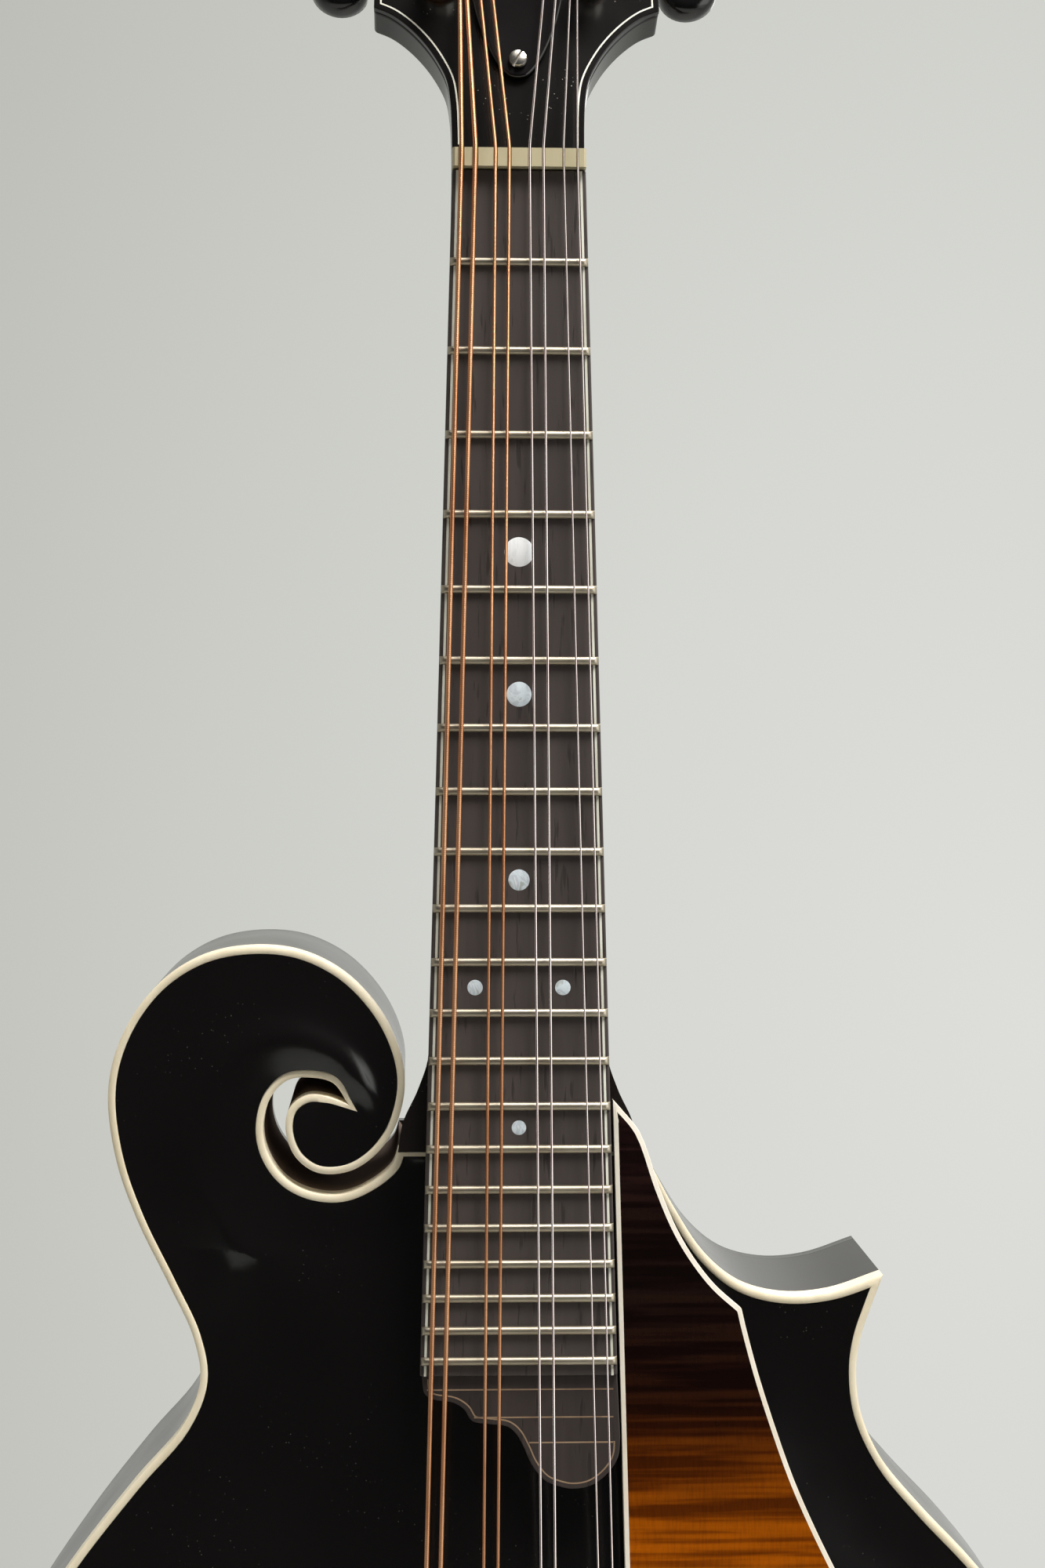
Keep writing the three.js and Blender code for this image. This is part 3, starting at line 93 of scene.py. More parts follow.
HOLE_EYE_RADIUS = 4.3
HEAD_HALF = 38.5
HEAD_LENGTH = 166.0
HEAD_THICKNESS = 8.4
OVERLAY_THICKNESS = 1.5
POST_ROWS = 4
FIRST_POST = 46.7
POST_SPACING = 23.06
POST_ACROSS = 16.3
POST_RADIUS = 3.0
POST_RISE = 13.0
SEAT_GAP = 0.3
GLUE_LINE = 0.1
FRET_TOP_Y = -BOARD_THICKNESS - FRET_HEIGHT
LEDGE_Z = NUT_THICKNESS + SEAT_GAP
HEAD_BACK_Y = SEAT_GAP + HEAD_THICKNESS
STRING_RADII = [0.5, 0.5, 0.34, 0.34, 0.26, 0.26, 0.19, 0.19]
COURSES = ["g_outer", "g_inner", "d_outer", "d_inner", "a_inner", "a_outer", "e_inner", "e_outer"]


def fret_distance(fret):
    return SCALE_LENGTH * (1 - 2 ** (-fret / 12))


def tilted(angle):
    """Turns points of a frame tilted back by an angle into the row frame, in millimetres."""
    c, s = math.cos(angle), math.sin(angle)
    turn = np.array([[1, 0, 0], [0, c, s], [0, -s, c]])
    return lambda points: np.asarray(points, float) @ turn.T


on_body = tilted(0)
on_neck = tilted(NECK_ANGLE)
on_head = tilted(NECK_ANGLE + HEAD_PITCH)
BOARD_SLOPE = (LAST_FRET_WIDTH - NUT_WIDTH) / 2 / fret_distance(FRET_COUNT)
NECK_EDGE_Z = -fret_distance(JOIN_FRET) * math.cos(NECK_ANGLE) - EDGE_PAST_JOIN
TAIL_Z = NECK_EDGE_Z - BODY_DROP
FACE_Y = -fret_distance(JOIN_FRET) * math.sin(NECK_ANGLE) + EDGE_BELOW_BOARD
RIB_FRONT_Y = FACE_Y + TOP_EDGE
RIB_BACK_Y = RIB_FRONT_Y + RIB_DEPTH
BACK_Y = RIB_BACK_Y + BACK_EDGE
BRIDGE_Z = on_neck([0, 0, -SCALE_LENGTH])[2]


def board_half(distance):
    return NUT_WIDTH / 2 + BOARD_SLOPE * distance


# Materials: a texture's scale counts its repeats in a metre, and a bump's distance is in metres
WHITE = (1, 1, 1, 1)
BLACK = (0, 0, 0, 1)
# Nearly all values of a noise texture lie between these two
NOISE_LOW, NOISE_HIGH = 0.3, 0.7
# The sockets of a mix node that mixes colours
MIX_FACTOR, MIX_FIRST, MIX_SECOND, MIX_RESULT = 0, 6, 7, 2


def srgb(red, green, blue):
    """A colour given in screen values from 0 to 255, as the shader wants it."""
    def linear(value):
        value = value / 255
        return value / 12.92 if value <= 0.04045 else ((value + 0.055) / 1.055) ** 2.4
    return (linear(red), linear(green), linear(blue), 1)


class Nodes:
    """A small helper that adds nodes to the node tree of a material or of the world."""

    def __init__(self, tree, coordinates):
        self.nodes, self.links = tree.nodes, tree.links
        self.place = self.add("ShaderNodeTexCoord").outputs[coordinates]

    def feed(self, socket, value):
        """Links a socket to another node's output, or gives it a plain value."""
        if isinstance(value, bpy.types.NodeSocket):
            self.links.new(value, socket)
        else:
            socket.default_value = value

    def add(self, kind, inputs=(), **settings):
        """A new node with its settings, and what each of its inputs is fed."""
        node = self.nodes.new(kind)
        for name, value in settings.items():
            setattr(node, name, value)
        for socket, value in dict(inputs).items():
            self.feed(node.inputs[socket], value)
        return node

    def mapped(self, scale, turn=(0, 0, 0)):
        inputs = {"Scale": scale, "Rotation": turn, "Vector": self.place}
        return self.add("ShaderNodeMapping", inputs).outputs["Vector"]

    def noise(self, scale, detail, stretch=(1, 1, 1), turn=(0, 0, 0), distortion=0.0):
        inputs = {"Scale": scale, "Detail": detail, "Distortion": distortion,
                  "Vector": self.mapped(stretch, turn)}
        return self.add("ShaderNodeTexNoise", inputs).outputs["Fac"]

    def cells(self, scale):
        inputs = {"Scale": scale, "Vector": self.mapped((1, 1, 1))}
        return self.add("ShaderNodeTexVoronoi", inputs).outputs["Distance"]

    def ramp(self, source, stops, smooth=True):
        node = self.add("ShaderNodeValToRGB", {"Fac": source})
        node.color_ramp.interpolation = "EASE" if smooth else "LINEAR"
        elements = node.color_ramp.elements
        while len(elements) < len(stops):
            elements.new(1)
        for element, (at, color) in zip(elements, stops):
            element.position = at
            element.color = (*color[:3], 1)
        return node.outputs["Color"]

    def spread(self, source, low, high, out_low=0, out_high=1):
        inputs = {"Value": source, "From Min": low, "From Max": high, "To Min": out_low, "To Max": out_high}
        return self.add("ShaderNodeMapRange", inputs).outputs["Result"]

    def varied(self, noise, low, high):
        """A value that goes from low to high with a noise texture."""
        return self.spread(noise, NOISE_LOW, NOISE_HIGH, low, high)

    def math(self, kind, *values):
        return self.add("ShaderNodeMath", enumerate(values), operation=kind).outputs["Value"]

    def times(self, product, *others):
        for other in others:
            product = self.math("MULTIPLY", product, other)
        return product

    def blend(self, first, share, second):
        return self.math("ADD", self.times(first, share), self.times(second, 1 - share))

    def mix(self, factor, first, second, kind="MIX"):
        inputs = {MIX_FACTOR: factor, MIX_FIRST: first, MIX_SECOND: second}
        return self.add("ShaderNodeMix", inputs, data_type="RGBA", blend_type=kind).outputs[MIX_RESULT]

    def vector(self, kind, *values):
        node = self.add("ShaderNodeVectorMath", enumerate(values), operation=kind)
        return node.outputs["Value" if kind == "LENGTH" else "Vector"]

    def axis(self, letter):
        return self.add("ShaderNodeSeparateXYZ", {"Vector": self.place}).outputs[letter]

    def bump(self, height, distance, strength):
        inputs = {"Height": height, "Distance": distance, "Strength": strength}
        return self.add("ShaderNodeBump", inputs).outputs["Normal"]

    def rays(self, *kinds):
        """1 for a ray that is of one of the kinds, and 0 for the others."""
        path = self.add("ShaderNodeLightPath").outputs
        found = path[kinds[0]]
        for kind in kinds[1:]:
            found = self.math("MAXIMUM", found, path[kind])
        return found

    def choose(self, factor, first, second):
        return self.add("ShaderNodeMixShader", enumerate((factor, first, second))).outputs["Shader"]


class Shader(Nodes):
    """One material with its surface."""

    def __init__(self, name):
        self.material = bpy.data.materials.new(name)
        self.material.use_nodes = True
        super().__init__(self.material.node_tree, "Object")
        self.surface = self.nodes["Principled BSDF"]

    def set(self, **values):
        """Feeds the surface's sockets, whose names have _ for a space."""
        for socket, value in values.items():
            self.feed(self.surface.inputs[socket.replace("_", " ")], value)
        return self.material


DUST = srgb(190, 186, 176)
RUBBED = 1.4


def lacquer(name, base, dusty, roughness, shine=0.5):
    """Black lacquer with a faint unevenness, softly rubbed places and fine specks of dust."""
    m = Shader(name)
    color = m.ramp(m.noise(9, 3), [(0.3, base), (0.75, [RUBBED * c for c in base[:3]])])
    dots = m.ramp(m.cells(1000), [(0.1, WHITE), (0.17, BLACK)], smooth=False)
    some = m.ramp(m.noise(640, 1), [(0.55, BLACK), (0.6, WHITE)])
    patch = m.ramp(m.noise(45, 2), [(0.46, BLACK), (0.62, WHITE)])
    return m.set(
        Base_Color=m.mix(m.times(dots, some, patch, dusty), color, DUST),
        Roughness=m.varied(m.noise(35, 5), roughness, roughness + 0.07),
        Specular_IOR_Level=shine, Normal=m.bump(m.noise(120, 2), 0.00003, 0.15))


def bare_wood(name, light, dark, stretch, scale=140.0):
    m = Shader(name)
    grain = m.noise(scale, 6, stretch, distortion=0.4)
    color = m.mix(m.times(m.noise(12, 3), 0.5), m.ramp(grain, [(0.32, dark), (0.62, light)]), dark)
    return m.set(Base_Color=color, Roughness=m.varied(grain, 0.72, 0.55), Normal=m.bump(grain, 0.0001, 0.5))


def ebony(name, low, high, pore_color, roughness):
    """Brownish black wood with long thin streaks and short open pores along the grain."""
    m = Shader(name)
    streak = m.noise(150, 6, (1, 1, 0.05), distortion=0.3)
    tone = m.blend(streak, 0.65, m.noise(22, 3, (1, 1, 0.4)))
    pits = m.ramp(m.noise(900, 2, (1, 1, 0.085)), [(0.3, WHITE), (0.4, BLACK)])
    relief = m.math("SUBTRACT", m.times(streak, 0.3), pits)
    return m.set(
        Base_Color=m.mix(m.times(pits, 0.5), m.ramp(tone, [(0.36, low), (0.64, high)]), pore_color),
        Roughness=m.varied(streak, roughness + 0.1, roughness),
        Specular_IOR_Level=0.3, Normal=m.bump(relief, 0.00008, 0.5))


def cream(name, base, dark, roughness=0.3):
    m = Shader(name)
    line = m.noise(420, 3, (1, 1, 0.3))
    tone = m.blend(m.noise(30, 5), 0.7, line)
    return m.set(
        Base_Color=m.ramp(tone, [(0.34, dark), (0.6, base)]),
        Roughness=m.varied(line, roughness, roughness + 0.12),
        Subsurface_Weight=0.08, Subsurface_Radius=(0.001, 0.0007, 0.0004),
        Normal=m.bump(line, 0.00003, 0.5))


def metal(name, base, dark, roughness, grain=(1, 1, 1), marks=600.0, worn=0.2):
    """Metal with fine rubbing marks and a little tarnish."""
    m = Shader(name)
    scratch = m.noise(marks, 4, grain)
    return m.set(
        Base_Color=m.ramp(m.noise(70, 5), [(0.32, dark), (0.6, base)]), Metallic=1.0,
        Roughness=m.varied(scratch, roughness, roughness + 0.1), Normal=m.bump(scratch, 0.00001, worn))


# How many bands a wave texture draws in one unit at a scale of 1
WAVE_BANDS = 10 / math.pi


def wound_string(name, pitch):
    """Bronze wire wound closely round a steel core."""
    m = Shader(name)
    inputs = {"Scale": 1 / (pitch * MM * WAVE_BANDS), "Vector": m.place}
    turns = m.add("ShaderNodeTexWave", inputs, bands_direction="Z").outputs["Fac"]
    tone = m.noise(90, 4, (1, 1, 0.4))
    color = m.ramp(tone, [(0.3, srgb(196, 136, 96)), (0.65, srgb(218, 166, 126))])
    # Painted shade: the colour darkens to a deep bronze in the crevices between the wire's turns
    painted_gap_shade = m.times(m.math("SUBTRACT", 1.0, turns), 0.45)
    return m.set(
        Base_Color=m.mix(painted_gap_shade, color, srgb(118, 70, 44)), Metallic=1.0,
        Roughness=m.varied(tone, 0.34, 0.44), Normal=m.bump(turns, 0.00005, 0.6))


# The pickguard's sunburst from its low end up to its high end, in metres, and its flame
BURST_LOW, BURST_HIGH = -0.343, -0.196
BURST = [
    (0.0, srgb(216, 130, 16)), (0.25, srgb(196, 107, 6)), (0.38, srgb(172, 87, 2)), (0.425, srgb(161, 81, 2)),
    (0.469, srgb(143, 71, 3)), (0.514, srgb(118, 57, 4)), (0.56, srgb(88, 41, 5)), (0.61, srgb(54, 25, 8)),
    (0.65, srgb(41, 19, 9)), (0.74, srgb(31, 18, 13)), (0.83, srgb(33, 19, 13)), (0.93, srgb(41, 24, 20)),
]
FLAME = [
    (0.44, (0.28, 0.24, 0.33)), (0.49, (0.48, 0.43, 0.52)), (0.55, (0.82, 0.8, 0.86)),
    (0.64, (1.06, 1.06, 1.0)),
]


def flamed_guard(name):
    """Flamed maple with a sunburst: amber low down, through brown to nearly black at the top."""
    m = Shader(name)
    height = m.math("ADD", m.axis("Z"), m.varied(m.noise(24, 2), -0.006, 0.006))
    burst = m.ramp(m.spread(height, BURST_LOW, BURST_HIGH), BURST, smooth=False)
    broad = m.noise(250, 2, (0.045, 0.2, 1.0), (0, math.radians(-2), 0), 0.12)
    fine = m.noise(600, 2, (0.05, 0.2, 1.0), (0, math.radians(-4), 0), 0.1)
    stripes = m.ramp(m.blend(broad, 0.6, fine), FLAME, smooth=False)
    fibre = m.ramp(m.noise(2600, 2, (1, 1, 0.08)), [(0.3, (0.88, 0.87, 0.86)), (0.62, (1.04, 1.04, 1.04))])
    return m.set(
        Base_Color=m.mix(1.0, m.mix(1.0, burst, stripes, "MULTIPLY"), fibre, "MULTIPLY"),
        Roughness=m.varied(m.noise(30, 4), 0.12, 0.18), Specular_IOR_Level=0.25,
        Normal=m.bump(m.noise(220, 3), 0.00002, 0.2))


def pearl(name, *tones):
    """Mother of pearl: four tones in small drifting patches."""
    m = Shader(name)
    sheen = m.noise(420, 4, (1, 1, 0.5), distortion=1.5)
    return m.set(
        Base_Color=m.ramp(sheen, list(zip((0.3, 0.45, 0.6, 0.75), tones))),
        Roughness=m.varied(sheen, 0.12, 0.3), Normal=m.bump(sheen, 0.00002, 0.4))


MATERIALS = {name: make(name, *values) for name, (make, *values) in {
    "top_lacquer": (lacquer, srgb(12, 10, 10), 0.1, 0.13),
    "side_lacquer": (lacquer, srgb(23, 19, 17), 0.3, 0.14),
    # Painted sheen: the channel's walls are black lacquer, given a grey base and no shine so that they show
    # the light they catch deep in shade
    "channel_lacquer": (lacquer, srgb(123, 109, 100), 0.1, 0.6, 0.0),
    "overlay_lacquer": (lacquer, srgb(17, 15, 14), 1.0, 0.12),
    "cover_black": (lacquer, srgb(15, 13, 13), 0.5, 0.12),
    "button_black": (lacquer, srgb(15, 14, 14), 0.2, 0.14),
    "binding": (cream, srgb(245, 233, 205), srgb(231, 218, 187)),
    "guard_binding": (cream, srgb(251, 243, 228), srgb(237, 226, 206)),
    "white_line": (cream, srgb(234, 234, 220), srgb(206, 204, 188), 0.4),
    "scoop_line": (cream, srgb(155, 130, 104), srgb(121, 97, 74), 0.5),
    "bone": (cream, srgb(193, 182, 149), srgb(179, 167, 134), 0.3),
    "pearl": (pearl, srgb(186, 194, 192), srgb(222, 233, 239), srgb(200, 210, 217), srgb(240, 243, 246)),
    "bright_pearl": (pearl, srgb(232, 236, 234), srgb(250, 252, 253), srgb(240, 244, 246), WHITE),
    "board": (ebony, srgb(65, 58, 56), srgb(79, 72, 68), srgb(30, 24, 23), 0.42),
    "scoop_board": (ebony, srgb(51, 44, 42), srgb(65, 57, 54), srgb(25, 20, 18), 0.42),
    "bridge_ebony": (ebony, srgb(37, 32, 30), srgb(56, 49, 45), srgb(18, 15, 14), 0.36),
    "fret_metal": (metal, srgb(172, 163, 146), srgb(157, 147, 129), 0.4, (0.15, 1, 1), 200.0, 0.0),
    "nickel": (metal, srgb(216, 212, 202), srgb(202, 197, 186), 0.16),
    "steel": (metal, srgb(206, 206, 206), srgb(160, 160, 160), 0.22, (1, 1, 0.1)),
    "plain_string": (metal, srgb(248, 236, 232), srgb(236, 218, 214), 0.12, (1, 1, 0.02), 300.0, 0.02),
    "brass": (metal, srgb(214, 176, 104), srgb(166, 124, 66), 0.25),
    "wound_thick": (wound_string, 0.26),
    "wound_thin": (wound_string, 0.2),
    "guard_maple": (flamed_guard,),
    "maple": (bare_wood, srgb(236, 199, 151), srgb(195, 151, 102), (1, 1, 0.12)),
    "spruce": (bare_wood, srgb(249, 216, 162), srgb(210, 166, 109), (1, 1, 0.05), 260.0),
}.items()}


# Mesh tools
SOFT_EDGE_FROM = math.radians(30)


def mesh_object(name, points, faces, material):
    """A mesh object in the scene, from points in millimetres in the row frame."""
    mesh = bpy.data.meshes.new(name)
    mesh.from_pydata((np.asarray(points, float) * MM).tolist(), [], [list(map(int, f)) for f in faces])
    mesh.materials.append(material)
    made = bpy.data.objects.new(name, mesh)
    bpy.context.scene.collection.objects.link(made)
    return made


def add_piece(name, points, faces, material, slot, body="instrument", replaces=(), smooth_angle=38.0,
              soft_edge=0.0, soft_steps=3):
    """One piece of the object, with its body and the nodes that it replaces. Its slot is not used."""
    piece = mesh_object(name, points, faces, MATERIALS[material])
    mesh = piece.data
    mesh.validate()
    work = bmesh.new()
    work.from_mesh(mesh)
    bmesh.ops.recalc_face_normals(work, faces=work.faces)
    work.to_mesh(mesh)
    work.free()
    mesh.shade_smooth()
    mesh.set_sharp_from_angle(angle=math.radians(smooth_angle))
    if soft_edge:
        bevel = piece.modifiers.new("soft", "BEVEL")
        bevel.width = soft_edge * MM
        bevel.segments = soft_steps
        bevel.limit_method = "ANGLE"
        bevel.angle_limit = SOFT_EDGE_FROM
        bevel.harden_normals = True
    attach(piece, body)
    if replaces:
        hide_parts(*replaces)


def joined_shapes(*shapes):
    """Several (points, faces) shapes as one."""
    points, faces = [], []
    for shape_points, shape_faces in shapes:
        faces += [[len(points) + corner for corner in face] for face in shape_faces]
        points += np.asarray(shape_points, float).tolist()
    return points, faces


def loft(rings, place=on_body, looped=False):
    """A skin through rings of points that have the same count, capped at its ends or looped."""
    count, rows = len(rings[0]), len(rings)
    faces = []
    for row in range(rows if looped else rows - 1):
        low, high = row * count, (row + 1) % rows * count
        faces += [[low + at, low + (at + 1) % count, high + (at + 1) % count, high + at]
                  for at in range(count)]
    if not looped:
        last = (rows - 1) * count
        faces += [list(range(count)), list(range(last + count - 1, last - 1, -1))]
    return place([point for ring in rings for point in ring]), faces


def prism(outline, front, back, place=on_body):
    """A flat outline in X and Z, given depth along Y. Soft edges need its flat ends as the first faces."""
    points, faces = loft([[(x, y, z) for x, z in outline] for y in (front, back)], place)
    return points, faces[-2:] + faces[:-2]


def block(left, right, front, back, low, high, place=on_body):
    return prism([(left, low), (right, low), (right, high), (left, high)], front, back, place)


def round_angles(sides):
    return np.arange(sides) * 2 * math.pi / sides


# Any way that no axis in use is parallel to
ACROSS_AXES = [0.3, 0.4, 1.0]


def lathe(profile, centre, axis, sides, place=on_body):
    """A round shape from (radius, height) pairs along an axis through a centre."""
    centre = np.asarray(centre, float)
    axis = np.asarray(axis, float) / np.linalg.norm(axis)
    first = np.cross(axis, ACROSS_AXES)
    first /= np.linalg.norm(first)
    second = np.cross(axis, first)
    ways = [math.cos(a) * first + math.sin(a) * second for a in round_angles(sides)]
    rings = [[centre + axis * height + radius * way for way in ways] for radius, height in profile]
    return loft(rings, place)


def tube(path, radius, sides):
    """A round rod along a list of points, turned as little as it can be on the way."""
    path = np.asarray(path, float)
    normal = np.array([1.0, 0, 0])
    rings = []
    for step, point in enumerate(path):
        tangent = path[min(step + 1, len(path) - 1)] - path[max(step - 1, 0)]
        tangent /= np.linalg.norm(tangent)
        normal = normal - tangent * normal.dot(tangent)
        normal /= np.linalg.norm(normal)
        side = np.cross(tangent, normal)
        rings.append([point + radius * (math.cos(a) * normal + math.sin(a) * side)
                      for a in round_angles(sides)])
    return loft(rings)


def smooth_table(table, at):
    """A smooth line through pairs of shares, read at many shares at once."""
    table = np.asarray(table, float)
    xs, ys = table[:, 0], table[:, 1]
    last = len(xs) - 1
    rows = np.arange(last + 1)
    before, after = np.maximum(rows - 1, 0), np.minimum(rows + 1, last)
    slopes = (ys[after] - ys[before]) / (xs[after] - xs[before])
    at = np.clip(np.asarray(at, float), xs[0], xs[-1])
    right = np.clip(np.searchsorted(xs, at, side="right"), 1, last)
    left = right - 1
    width = xs[right] - xs[left]
    t = (at - xs[left]) / width
    return ((2 * t ** 3 - 3 * t ** 2 + 1) * ys[left] + (t ** 3 - 2 * t ** 2 + t) * width * slopes[left]
            + (3 * t ** 2 - 2 * t ** 3) * ys[right] + (t ** 3 - t ** 2) * width * slopes[right])


def smooth_curve(points, steps):
    """A centripetal curve through points, with a number of steps between each two."""
    points = np.asarray(points, float)
    padded = np.vstack([2 * points[0] - points[1], points, 2 * points[-1] - points[-2]])
    out = []
    for at in range(len(points) - 1):
        p0, p1, p2, p3 = padded[at:at + 4]
        d0, d1, d2 = (max(np.linalg.norm(b - a) ** 0.5, TINY) for a, b in ((p0, p1), (p1, p2), (p2, p3)))
        t1 = ((p1 - p0) / d0 - (p2 - p0) / (d0 + d1) + (p2 - p1) / d1) * d1
        t2 = ((p2 - p1) / d1 - (p3 - p1) / (d1 + d2) + (p3 - p2) / d2) * d1
        for step in range(steps):
            t = step / steps
            out.append(p1 + t1 * t + (-3 * p1 + 3 * p2 - 2 * t1 - t2) * t ** 2
                       + (2 * p1 - 2 * p2 + t1 + t2) * t ** 3)
    out.append(points[-1])
    return np.array(out)


# The body's outline, as shares of its half width and of its drop from neck edge to tail
BASS_SHARES = [
    [0, 1], [-0.268, 0.990], [-0.504, 0.961], [-0.693, 0.913], [-0.835, 0.848],
    [-0.937, 0.767], [-0.988, 0.687], [-1, 0.612], [-0.980, 0.519], [-0.929, 0.431],
    [-0.858, 0.359], [-0.742, 0.285], [-0.634, 0.228], [-0.553, 0.189], [-0.524, 0.158],
    [-0.535, 0.128], [-0.575, 0.092], [-0.627, 0.048], [-0.661, 0.008], [-0.675, -0.034],
    [-0.665, -0.063], [-0.633, -0.092], [-0.583, -0.116], [-0.517, -0.132], [-0.441, -0.138],
    [-0.362, -0.135], [-0.287, -0.120], [-0.227, -0.094], [-0.194, -0.066], [-0.186, -0.042],
    [-0.201, -0.016], [-0.232, 0.003], [-0.277, 0.015], [-0.330, 0.016], [-0.367, 0.005],
    [-0.383, -0.014], [-0.375, -0.029], [-0.346, -0.037], [-0.313, -0.036], [-0.280, -0.031],
]
CHANNEL_SHARES = [
    [-0.280, -0.031], [-0.304, -0.045], [-0.343, -0.049], [-0.380, -0.047], [-0.408, -0.035],
    [-0.420, -0.014], [-0.411, 0.004], [-0.383, 0.020], [-0.343, 0.029], [-0.291, 0.031],
    [-0.246, 0.024], [-0.207, 0.011], [-0.197, 0],
]
CUTAWAY_SHARES = [
    [0.207, 0], [0.228, 0.015], [0.265, 0.043], [0.315, 0.074], [0.374, 0.094],
    [0.446, 0.102], [0.524, 0.100], [0.613, 0.088],
]
TREBLE_SHARES = [
    [0.613, 0.088], [0.593, 0.110], [0.576, 0.131], [0.569, 0.153], [0.578, 0.184],
    [0.617, 0.218], [0.681, 0.250], [0.775, 0.291], [0.854, 0.333], [0.921, 0.389],
    [0.969, 0.457], [0.995, 0.535], [1, 0.612], [0.988, 0.687], [0.937, 0.767],
    [0.835, 0.848], [0.693, 0.913], [0.504, 0.961], [0.268, 0.990], [0, 1],
]
OUTLINE_STEPS = 6


def outline_curve(shares):
    line = smooth_curve([(a * BODY_HALF, NECK_EDGE_Z - d * BODY_DROP) for a, d in shares], OUTLINE_STEPS)
    line[:, 0] = np.clip(line[:, 0], -BODY_HALF, BODY_HALF)
    return line


BASS_CURVE = outline_curve(BASS_SHARES)
CHANNEL_CURVE = outline_curve(CHANNEL_SHARES)[1:]
CUTAWAY_CURVE = outline_curve(CUTAWAY_SHARES)
TREBLE_CURVE = outline_curve(TREBLE_SHARES)[1:-1]
OUTLINE = np.vstack([BASS_CURVE, CHANNEL_CURVE, CUTAWAY_CURVE, TREBLE_CURVE])
BASS_END = len(BASS_CURVE) - 1
CHANNEL_END = BASS_END + len(CHANNEL_CURVE)
CUTAWAY_START = CHANNEL_END + 1
CUTAWAY_END = CHANNEL_END + len(CUTAWAY_CURVE)


def inside_polygon(points, polygon):
    """Whether each point lies inside a polygon."""
    points = np.asarray(points, float)
    polygon = np.asarray(polygon, float)
    start, end = polygon, np.roll(polygon, -1, axis=0)
    x, z = points[:, 0][:, None], points[:, 1][:, None]
    crosses = (start[:, 1] > z) != (end[:, 1] > z)
    rise = np.where(end[:, 1] == start[:, 1], 1.0, end[:, 1] - start[:, 1])
    left = x < start[:, 0] + (end[:, 0] - start[:, 0]) * (z - start[:, 1]) / rise
    return (crosses & left).sum(1) % 2 == 1


# How many points are measured at once
CHUNK = 2000


def edge_distance(points, polygon, closed=True):
    """How far each point lies from the nearest edge of a polygon or of an open line."""
    points = np.asarray(points, float)
    polygon = np.asarray(polygon, float)
    start = polygon if closed else polygon[:-1]
    end = np.roll(polygon, -1, axis=0) if closed else polygon[1:]
    run = end - start
    length = np.maximum((run ** 2).sum(1), TINY)
    out = np.empty(len(points))
    for at in range(0, len(points), CHUNK):
        part = points[at:at + CHUNK, None, :] - start[None]
        along = np.clip((part * run[None]).sum(2) / length, 0, 1)
        gap = part - along[..., None] * run[None]
        out[at:at + CHUNK] = np.sqrt((gap ** 2).sum(2).min(1))
    return out


def depth_inside(points):
    return np.where(inside_polygon(points, OUTLINE), edge_distance(points, OUTLINE), 0.0)


# The least sine of a mitre, and the share of its distance that a moved point has to keep
LEAST_MITRE, KEPT_SHARE = 0.36, 0.96


def ways_in(line, closed=True, inside=-1):
    """At each point of a line, the way in and the mitre's stretch; inside is 1 where it lies on the left."""
    into = line - np.roll(line, 1, axis=0)
    out = np.roll(line, -1, axis=0) - line
    if not closed:
        into[0] = out[0]
        out[-1] = into[-1]
    into /= np.maximum(np.linalg.norm(into, axis=1, keepdims=True), TINY)
    out /= np.maximum(np.linalg.norm(out, axis=1, keepdims=True), TINY)
    way = inside * np.stack([-into[:, 1] - out[:, 1], into[:, 0] + out[:, 0]], 1)
    way /= np.maximum(np.linalg.norm(way, axis=1, keepdims=True), TINY)
    stretch = 1 / np.maximum(np.abs(way[:, 0] * into[:, 1] - way[:, 1] * into[:, 0]), LEAST_MITRE)
    return way, stretch


def inset_line(line, distance, closed=True, inside=-1):
    """A line moved inwards, without the points that a corner folds over."""
    line = np.asarray(line, float)
    way, stretch = ways_in(line, closed, inside)
    moved = line + way * (distance * stretch)[:, None]
    return moved[edge_distance(moved, line, closed) > KEPT_SHARE * distance]


WAY_IN, MITRE = ways_in(OUTLINE)
SLOT_END = BASS_CURVE[-1]
NARROW_SHARE, NARROW_REACH = 0.6, 7.0


def inset_stretch(first, last, distance):
    """A stretch of the body's outline moved inwards, less far round the end of the scroll's slot."""
    at = np.arange(first, last + 1) % len(OUTLINE)
    away = np.linalg.norm(OUTLINE[at] - SLOT_END, axis=1) / NARROW_REACH
    distance = distance * (NARROW_SHARE + (1 - NARROW_SHARE) * np.clip(away, 0, 1))
    moved = OUTLINE[at] + WAY_IN[at] * (distance * MITRE[at])[:, None]
    return moved[depth_inside(moved) >= KEPT_SHARE * distance] if distance.max() > 0 else moved


def inset(distance):
    return inset_stretch(0, len(OUTLINE) - 1, distance)


# The plates' arch from the edge inwards, and how much of it there is from the scroll down to the tail
ARCH_PROFILE_SHARES = [[0, 0], [0.07, -0.05], [0.16, 0.05], [0.26, 0.26], [0.45, 0.58], [0.7, 0.88], [1, 1]]
ARCH_ALONG_SHARES = [[-0.14, 0.75], [0, 0.6], [0.15, 0.68], [0.3, 0.9], [0.47, 1], [1, 1]]


def arch_share(points):
    points = np.asarray(points, float)
    along = (NECK_EDGE_Z - points[:, 1]) / BODY_DROP
    rise = smooth_table(ARCH_PROFILE_SHARES, depth_inside(points) / ARCH_REACH)
    return rise * smooth_table(ARCH_ALONG_SHARES, along)


def plate_thickness(points, edge):
    t = np.clip((depth_inside(points) - PLATE_LAND) / PLATE_LAND, 0, 1)
    return edge + (PLATE_CENTRE - edge) * t * t * (3 - 2 * t)


